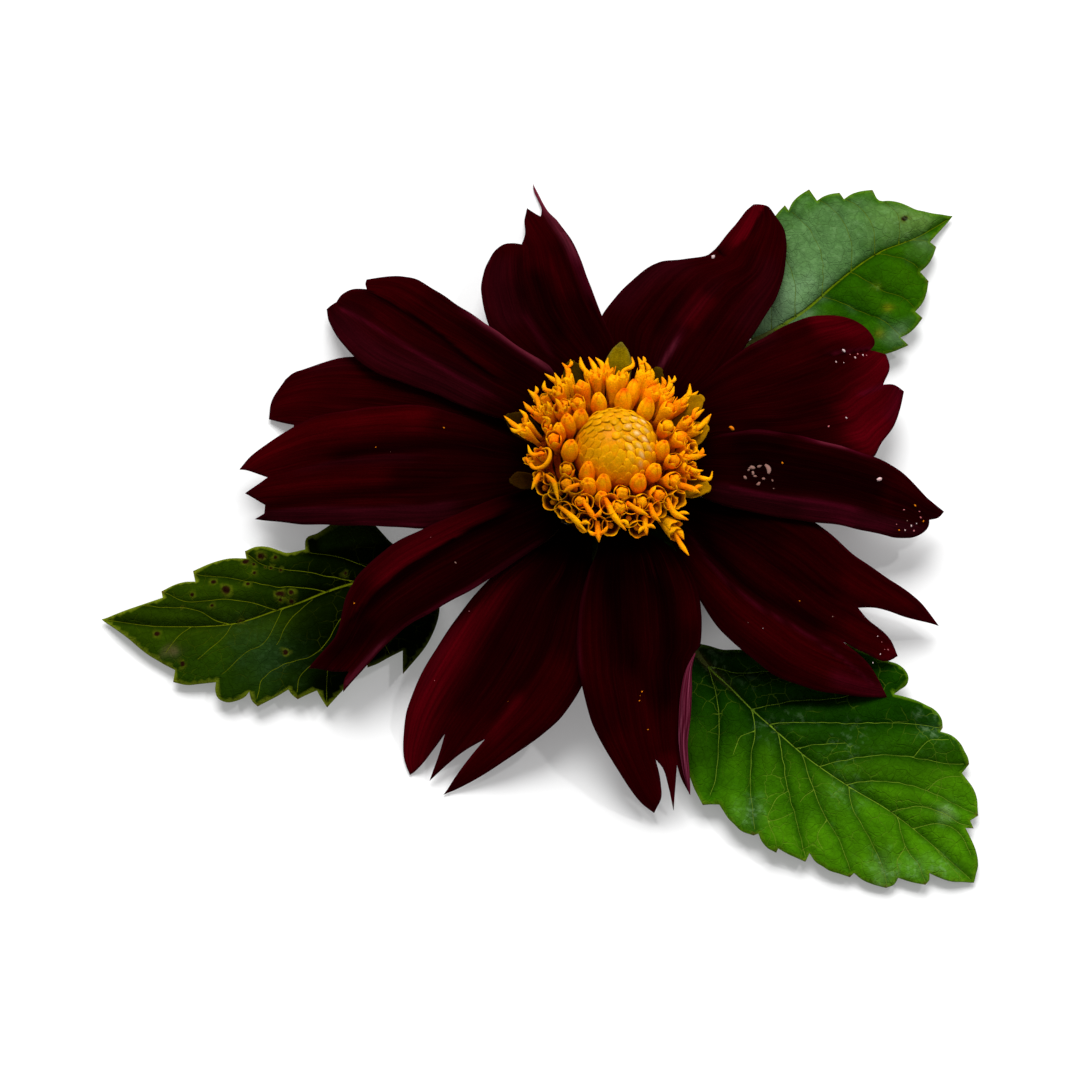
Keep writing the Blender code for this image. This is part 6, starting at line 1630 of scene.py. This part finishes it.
def dome():
    """The unopened middle: a dome covered with overlapping scales that lean in to its top."""
    shape = Shape()
    rng = np.random.default_rng(5)
    cx, cy = ring_centre(0)
    t = 21.3
    prof = [(0.05, t - 0.02), (1.3, t - 0.12), (2.6, t - 0.45), (3.85, t - 1.2), (4.8, t - 2.15), (5.3, t - 3.4), (5.2, t - 4.6),
            (4.8, 15.9), (4.3, 15.6), (0.4, 15.6)]
    ang = np.arange(48) * 2 * math.pi / 48
    rows = [np.stack((r * np.cos(ang) + cx * (0.6 + 0.4 * min(1, max(0, (z - 16) / 3))), r * np.sin(ang) + cy * (0.6 + 0.4 * min(1, max(0, (z - 16) / 3))),
                      np.full(48, z)), axis=-1) for r, z in prof]
    # painted shade: the dome under the scales darkens downwards
    shape.rings(rows[::-1], [mix(PAINTED_SHADE_ORANGE, (0.62, 0.22, 0.0003), float(smooth((z - 17.2) / 2.2))) for _, z in prof[::-1]])
    # surface of the dome as a curve of arc length
    arc = Curve1D(((0, 0), (1.3, 1.3), (2.65, 2.6), (4.05, 3.8), (5.4, 4.75), (6.8, 5.3), (8.0, 5.35)))
    drop = Curve1D(((0, 0.0), (1.3, 0.10), (2.65, 0.42), (4.05, 1.12), (5.4, 2.1), (6.8, 3.4), (8.0, 4.6)))
    count = 84
    for i in range(count):
        s = 0.30 + 6.6 * math.sqrt((i + 0.3) / count)
        az = math.radians(137.508) * i + 0.4
        r, z = float(arc(s)), t - float(drop(s))
        dr, dz = float(arc(s + 0.05) - arc(s - 0.05)), -float(drop(s + 0.05) - drop(s - 0.05))
        out = np.array((math.cos(az), math.sin(az), 0.0))
        m = unit(-(out * dr + np.array((0, 0, dz))))          # along the dome, towards its top
        nrm = unit(np.cross(np.cross(out, (0, 0, 1)), m))
        if nrm[2] < 0 and s < 5 or np.dot(nrm, out) < 0 and s > 1:
            nrm = -nrm
        b = np.cross(nrm, m)
        size = 0.62 + 0.42 * min(1.0, s / 5.0)
        long_, wide, high = 2.5 * size, 0.76 * size, 0.34 * size * (0.55 + 0.45 * min(1.0, s / 2.5))
        tilt = (0.03 + 0.11 * min(1.0, s / 4.0)) * (1.0 - 0.6 * float(smooth(math.cos(az - math.radians(215)) * 1.2 + 0.2)))
        axis = unit(m * math.cos(tilt) + nrm * math.sin(tilt))
        lift = np.cross(b, axis)
        if np.dot(lift, nrm) < 0:
            lift = -lift
        base = out * r + np.array((cx, cy, z)) - m * long_ * 0.45 - nrm * 0.20 * size
        calm = float(smooth(math.cos(az - math.radians(215)) * 1.2 + 0.2))
        flatter = 1.0 - 0.72 * calm
        tone = mix(mix((0.66, 0.215, 0.0003), (0.74, 0.325, 0.0006), rng.uniform(0.2, 1.0)), (0.62, 0.225, 0.0002), 0.85 * calm)
        if math.cos(az - math.radians(80)) > 0.2:
            tone = mix(tone, (0.60, 0.270, 0.0004), 0.6)
            wide = wide * 1.25
        # painted light: the side away from the light is painted the more orange and brighter one
        low_side = float(smooth(-math.sin(az) * 0.9 + 0.1)) * min(1.0, s / 4.0)
        tone = tuple(min(1.0, c * (0.80 + g * low_side)) for c, g in zip(tone, (0.22, 0.38, 0.4)))
        crest = mix((0.85, 0.41, 0.002), tone, 0.8 * calm)
        # painted highlights on the crests of the scales on the right
        painted_glint_strength = 0.45 * float(smooth((math.cos(az - math.radians(5)) - 0.45) / 0.3)) * (1.2 < s < 5.2) * rng.uniform(0.3, 1.0)
        rows, tints = [], []
        th = np.arange(12) * 2 * math.pi / 12
        form = Curve1D(((0.0, 0.45), (0.2, 0.80), (0.45, 1.0), (0.7, 0.86), (0.88, 0.50), (1.0, 0.10)))
        for f in (0.0, 0.15, 0.35, 0.55, 0.7, 0.82, 0.92, 1.0):
            w = wide * float(form(f))
            h = high * float(form(f)) * flatter
            c, sn = np.cos(th), np.sin(th)
            keel = 1 + 0.12 * np.clip(sn, 0, 1) ** 4
            row = base + axis * long_ * f + np.outer(w * c, b) + np.outer(h * sn * np.where(sn > 0, keel, 0.5), lift)
            rows.append(row)
            rim = np.clip(np.abs(c), 0, 1) ** 4
            painted_glint = np.clip(sn, 0, 1) ** 14 * painted_glint_strength * float(smooth((f - 0.30) / 0.15) * smooth((0.80 - f) / 0.15))
            tt = mix(mix(mix(ORANGE, tone, 0.70 + 0.28 * calm), tone, min(1.0, f * 2.6)), crest, np.clip(rim * 0.25 + 0.45 * smooth((f - 0.72) / 0.28), 0, 1))
            tints.append(mix(tt, (1.0, 0.86, 0.50), painted_glint))
        shape.rings(rows, tints)
    # the very top, where the youngest buds are too small to tell apart
    rows = [np.stack((cx + r * np.cos(th), cy + r * np.sin(th), np.full(12, t + dz)), axis=-1)
            for r, dz in ((0.62, -0.25), (0.60, 0.05), (0.46, 0.16), (0.26, 0.22), (0.05, 0.24))]
    shape.rings(rows, [(0.70, 0.285, 0.0004)] * 5)
    return shape.piece("dome_of_buds", disc_look("bud_skin", 0.30, 0.012, 0.02, grainy=0.25, varied=0.20), ["disc_bud_dome"])


# ----------------------------------------------------------------------------
# small things lying on the flower
# ----------------------------------------------------------------------------
def crumb(shape, at, size, tint, seed, flat=0.6):
    """A small irregular grain."""
    rng = np.random.default_rng(seed)
    rows, tints = [], []
    ang = np.arange(9) * 2 * math.pi / 9
    rough = rng.uniform(0.7, 1.25, (6, 9))
    turn = rng.uniform(0, 6)
    for i, (h, r) in enumerate(((0.0, 0.35), (0.2, 0.85), (0.5, 1.0), (0.8, 0.8), (1.0, 0.4), (1.06, 0.1))):
        rr = size * r * rough[i]
        x = rr * np.cos(ang) * 1.25
        y = rr * np.sin(ang) * 0.8
        rows.append(np.stack((at[0] + x * math.cos(turn) - y * math.sin(turn), at[1] + x * math.sin(turn) + y * math.cos(turn),
                              np.full(9, at[2] + h * 2 * size * flat)), axis=-1))
        tints.append(tint)
    shape.rings(rows, tints)


GRAINS = {
    # floret: (along, across, radius, kind)
    2: ((38, 2, 0.30, "white"),),
    3: ((38, 4.5, 0.24, "white"), (39, 3, 0.16, "white"), (36, 3, 0.12, "white"), (33, -5.5, 0.14, "white"), (30, -6, 0.14, "pink"),
        (37, 2.6, 0.10, "white"), (39.7, 3.5, 0.14, "pink"), (40.3, 3.1, 0.13, "white"), (38.6, 3.7, 0.11, "pink"),
        (40.8, 3.0, 0.10, "pink"), (17.5, -2, 0.32, "pollen")),
    4: ((19, 1, 0.35, "husk"), (20, 1.4, 0.26, "husk"), (18.2, -0.6, 0.24, "husk"), (20, -1.2, 0.28, "husk"), (20.6, -0.4, 0.22, "husk"),
        (21.8, -0.4, 0.16, "husk"), (19.5, -0.2, 0.2, "husk"), (23, 2.5, 0.16, "pollen"), (22, -1.5, 0.12, "husk"), (16, 1.5, 0.10, "husk"),
        (19.2, 0.2, 0.24, "husk"), (18.6, 0.6, 0.18, "husk"), (21.2, 1.2, 0.14, "husk"), (36, 3, 0.30, "white"),
        (39.5, -0.5, 0.12, "pink"), (41, 0.5, 0.16, "pollen"), (41.8, -1, 0.14, "pink"), (42.2, -1.4, 0.12, "pollen"),
        (41, -2.8, 0.14, "pink"), (39, -3.2, 0.12, "pollen"), (40, -1.8, 0.12, "husk"), (41.6, -0.2, 0.12, "pink"),
        (40.6, -2.3, 0.15, "white"), (39.8, -3.0, 0.12, "white"), (41.3, -1.9, 0.10, "white"), (38.6, -2.6, 0.10, "pink")),
    5: ((30.5, -1.5, 0.10, "pollen"), (35, -0.5, 0.12, "husk"), (42.3, -2.2, 0.09, "white"), (42.5, -0.6, 0.09, "white"), (42.6, 0.3, 0.08, "pink"),
        (26.5, -8, 0.10, "husk"), (28.5, -7.5, 0.08, "white"), (41, 1.2, 0.09, "white"), (41.8, 0.9, 0.08, "pink"), (43, 0.6, 0.1, "pink")),
    6: ((31, -1, 0.12, "pollen"), (32, -1.5, 0.11, "pollen"), (35.5, -1, 0.11, "pollen"), (31.4, -1.3, 0.08, "pollen")),
    7: ((25, -7, 0.09, "pink"), (34.5, -7, 0.09, "pink"), (33, 3, 0.09, "pollen")),
    8: ((37, -4.5, 0.12, "pollen"), (24, 0, 0.14, "husk"), (24.5, -5, 0.08, "pink")),
    9: ((21.5, -6, 0.12, "pollen"), (30.5, -4, 0.10, "pollen"), (28.5, -3, 0.10, "husk")),
}


def grains():
    tones = {"white": (0.55, 0.42, 0.42), "pink": (0.42, 0.12, 0.13), "pollen": (0.62, 0.17, 0.001), "husk": (0.20, 0.105, 0.085)}
    shape = Shape()
    n = 0
    for k, spots in GRAINS.items():
        ray = Ray(k)
        for u, v, size, kind in spots:
            n += 1
            crumb(shape, ray.on_top(u, v, -0.06), size, tones[kind], n, 0.42 if kind == "husk" else 0.6)
    # a curved fleck of husk
    ray = Ray(4)
    arc = [ray.on_top(20.5 + 0.8 * math.cos(a), 0.9 + 0.9 * math.sin(a), 0.06) for a in np.linspace(-0.5, 1.3, 12)]
    rod(shape, arc, [0.16 + 0.16 * math.sin(math.pi * i / 11) for i in range(12)], [(0.20, 0.110, 0.092)] * 12, sides=7, flat=0.45)
    shape.piece("pollen_and_specks", disc_look("speck_surface", 0.5, 0.05, 0.0, glow=0.0, varied=0.3), ())


# ----------------------------------------------------------------------------
# floor, light and camera
# ----------------------------------------------------------------------------
def studio():
    mesh = bpy.data.meshes.new("floor")
    n, size = 24, 3.0
    co = [(-size + 2 * size * i / n, -size + 2 * size * j / n, 0.0) for j in range(n + 1) for i in range(n + 1)]
    faces = [(j * (n + 1) + i, j * (n + 1) + i + 1, (j + 1) * (n + 1) + i + 1, (j + 1) * (n + 1) + i) for j in range(n) for i in range(n)]
    mesh.from_pydata(co, [], faces)
    ob = bpy.data.objects.new("floor", mesh)
    bpy.context.scene.collection.objects.link(ob)
    look = Look("pale_glowing_floor", Roughness=0.9, Specular_IOR_Level=0.0)
    # a white table that also glows faintly, which keeps the shadows light, but not under the disc
    look.bsdf.inputs["Base Color"].default_value = (0.60, 0.60, 0.60, 1.0)
    tree = look.mat.node_tree
    where = tree.nodes.new("ShaderNodeTexCoord")
    far = tree.nodes.new("ShaderNodeVectorMath")
    far.operation = "DISTANCE"
    far.inputs[1].default_value = (AXIS_AT[0] * MM, AXIS_AT[1] * MM, 0.0)
    floor_glow = tree.nodes.new("ShaderNodeMapRange")
    floor_glow.inputs["From Min"].default_value, floor_glow.inputs["From Max"].default_value = 0.015, 0.024
    tree.links.new(where.outputs["Object"], far.inputs[0])
    tree.links.new(far.outputs["Value"], floor_glow.inputs["Value"])
    tree.links.new(floor_glow.outputs["Result"], look.bsdf.inputs["Emission Color"])
    look.bsdf.inputs["Emission Strength"].default_value = 0.21
    mesh.materials.append(look.mat)

    world = bpy.data.worlds.new("studio")
    bpy.context.scene.world = world
    world.use_nodes = True
    bg = world.node_tree.nodes["Background"]
    bg.inputs["Color"].default_value = (1.0, 1.0, 1.0, 1.0)
    bg.inputs["Strength"].default_value = 0.40

    sun = bpy.data.lights.new("key", "SUN")
    sun.energy = 4.0
    sun.angle = math.radians(40)
    key = bpy.data.objects.new("key", sun)
    key.location = (-0.06, 0.70, 1.0)
    direction = Vector((0.06, -0.70, -1.0))
    key.rotation_euler = direction.to_track_quat("-Z", "Y").to_euler()
    bpy.context.scene.collection.objects.link(key)

    area = bpy.data.lights.new("glint", "AREA")
    area.shape, area.size, area.energy = "DISK", 0.045, 1.0
    glint = bpy.data.objects.new("glint", area)
    glint.location = (0.42, 0.16, 0.62)
    glint.rotation_euler = (Vector((0.01, 0.0, 0.02)) - Vector(glint.location)).to_track_quat("-Z", "Y").to_euler()
    bpy.context.scene.collection.objects.link(glint)

    cam = bpy.data.cameras.new("camera")
    cam.lens, cam.sensor_width, cam.clip_start, cam.clip_end = 135.0, 36.0, 0.01, 20.0
    eye = bpy.data.objects.new("camera", cam)
    eye.location = (0.31 * MM, -239.585 * MM, 487.029 * MM)
    eye.rotation_euler = (math.radians(26.0), 0.0, 0.0)
    bpy.context.scene.collection.objects.link(eye)
    bpy.context.scene.camera = eye
    bpy.context.scene.view_settings.view_transform = "Standard"


studio()
for number in RAYS:
    petal(number)
for leaf_name in LEAVES:
    leaf(leaf_name)
stem()
receptacle()
bracts()
paleae()
for whorl in (1, 2, 3, 4):
    floret_ring(whorl)
dome()
grains()
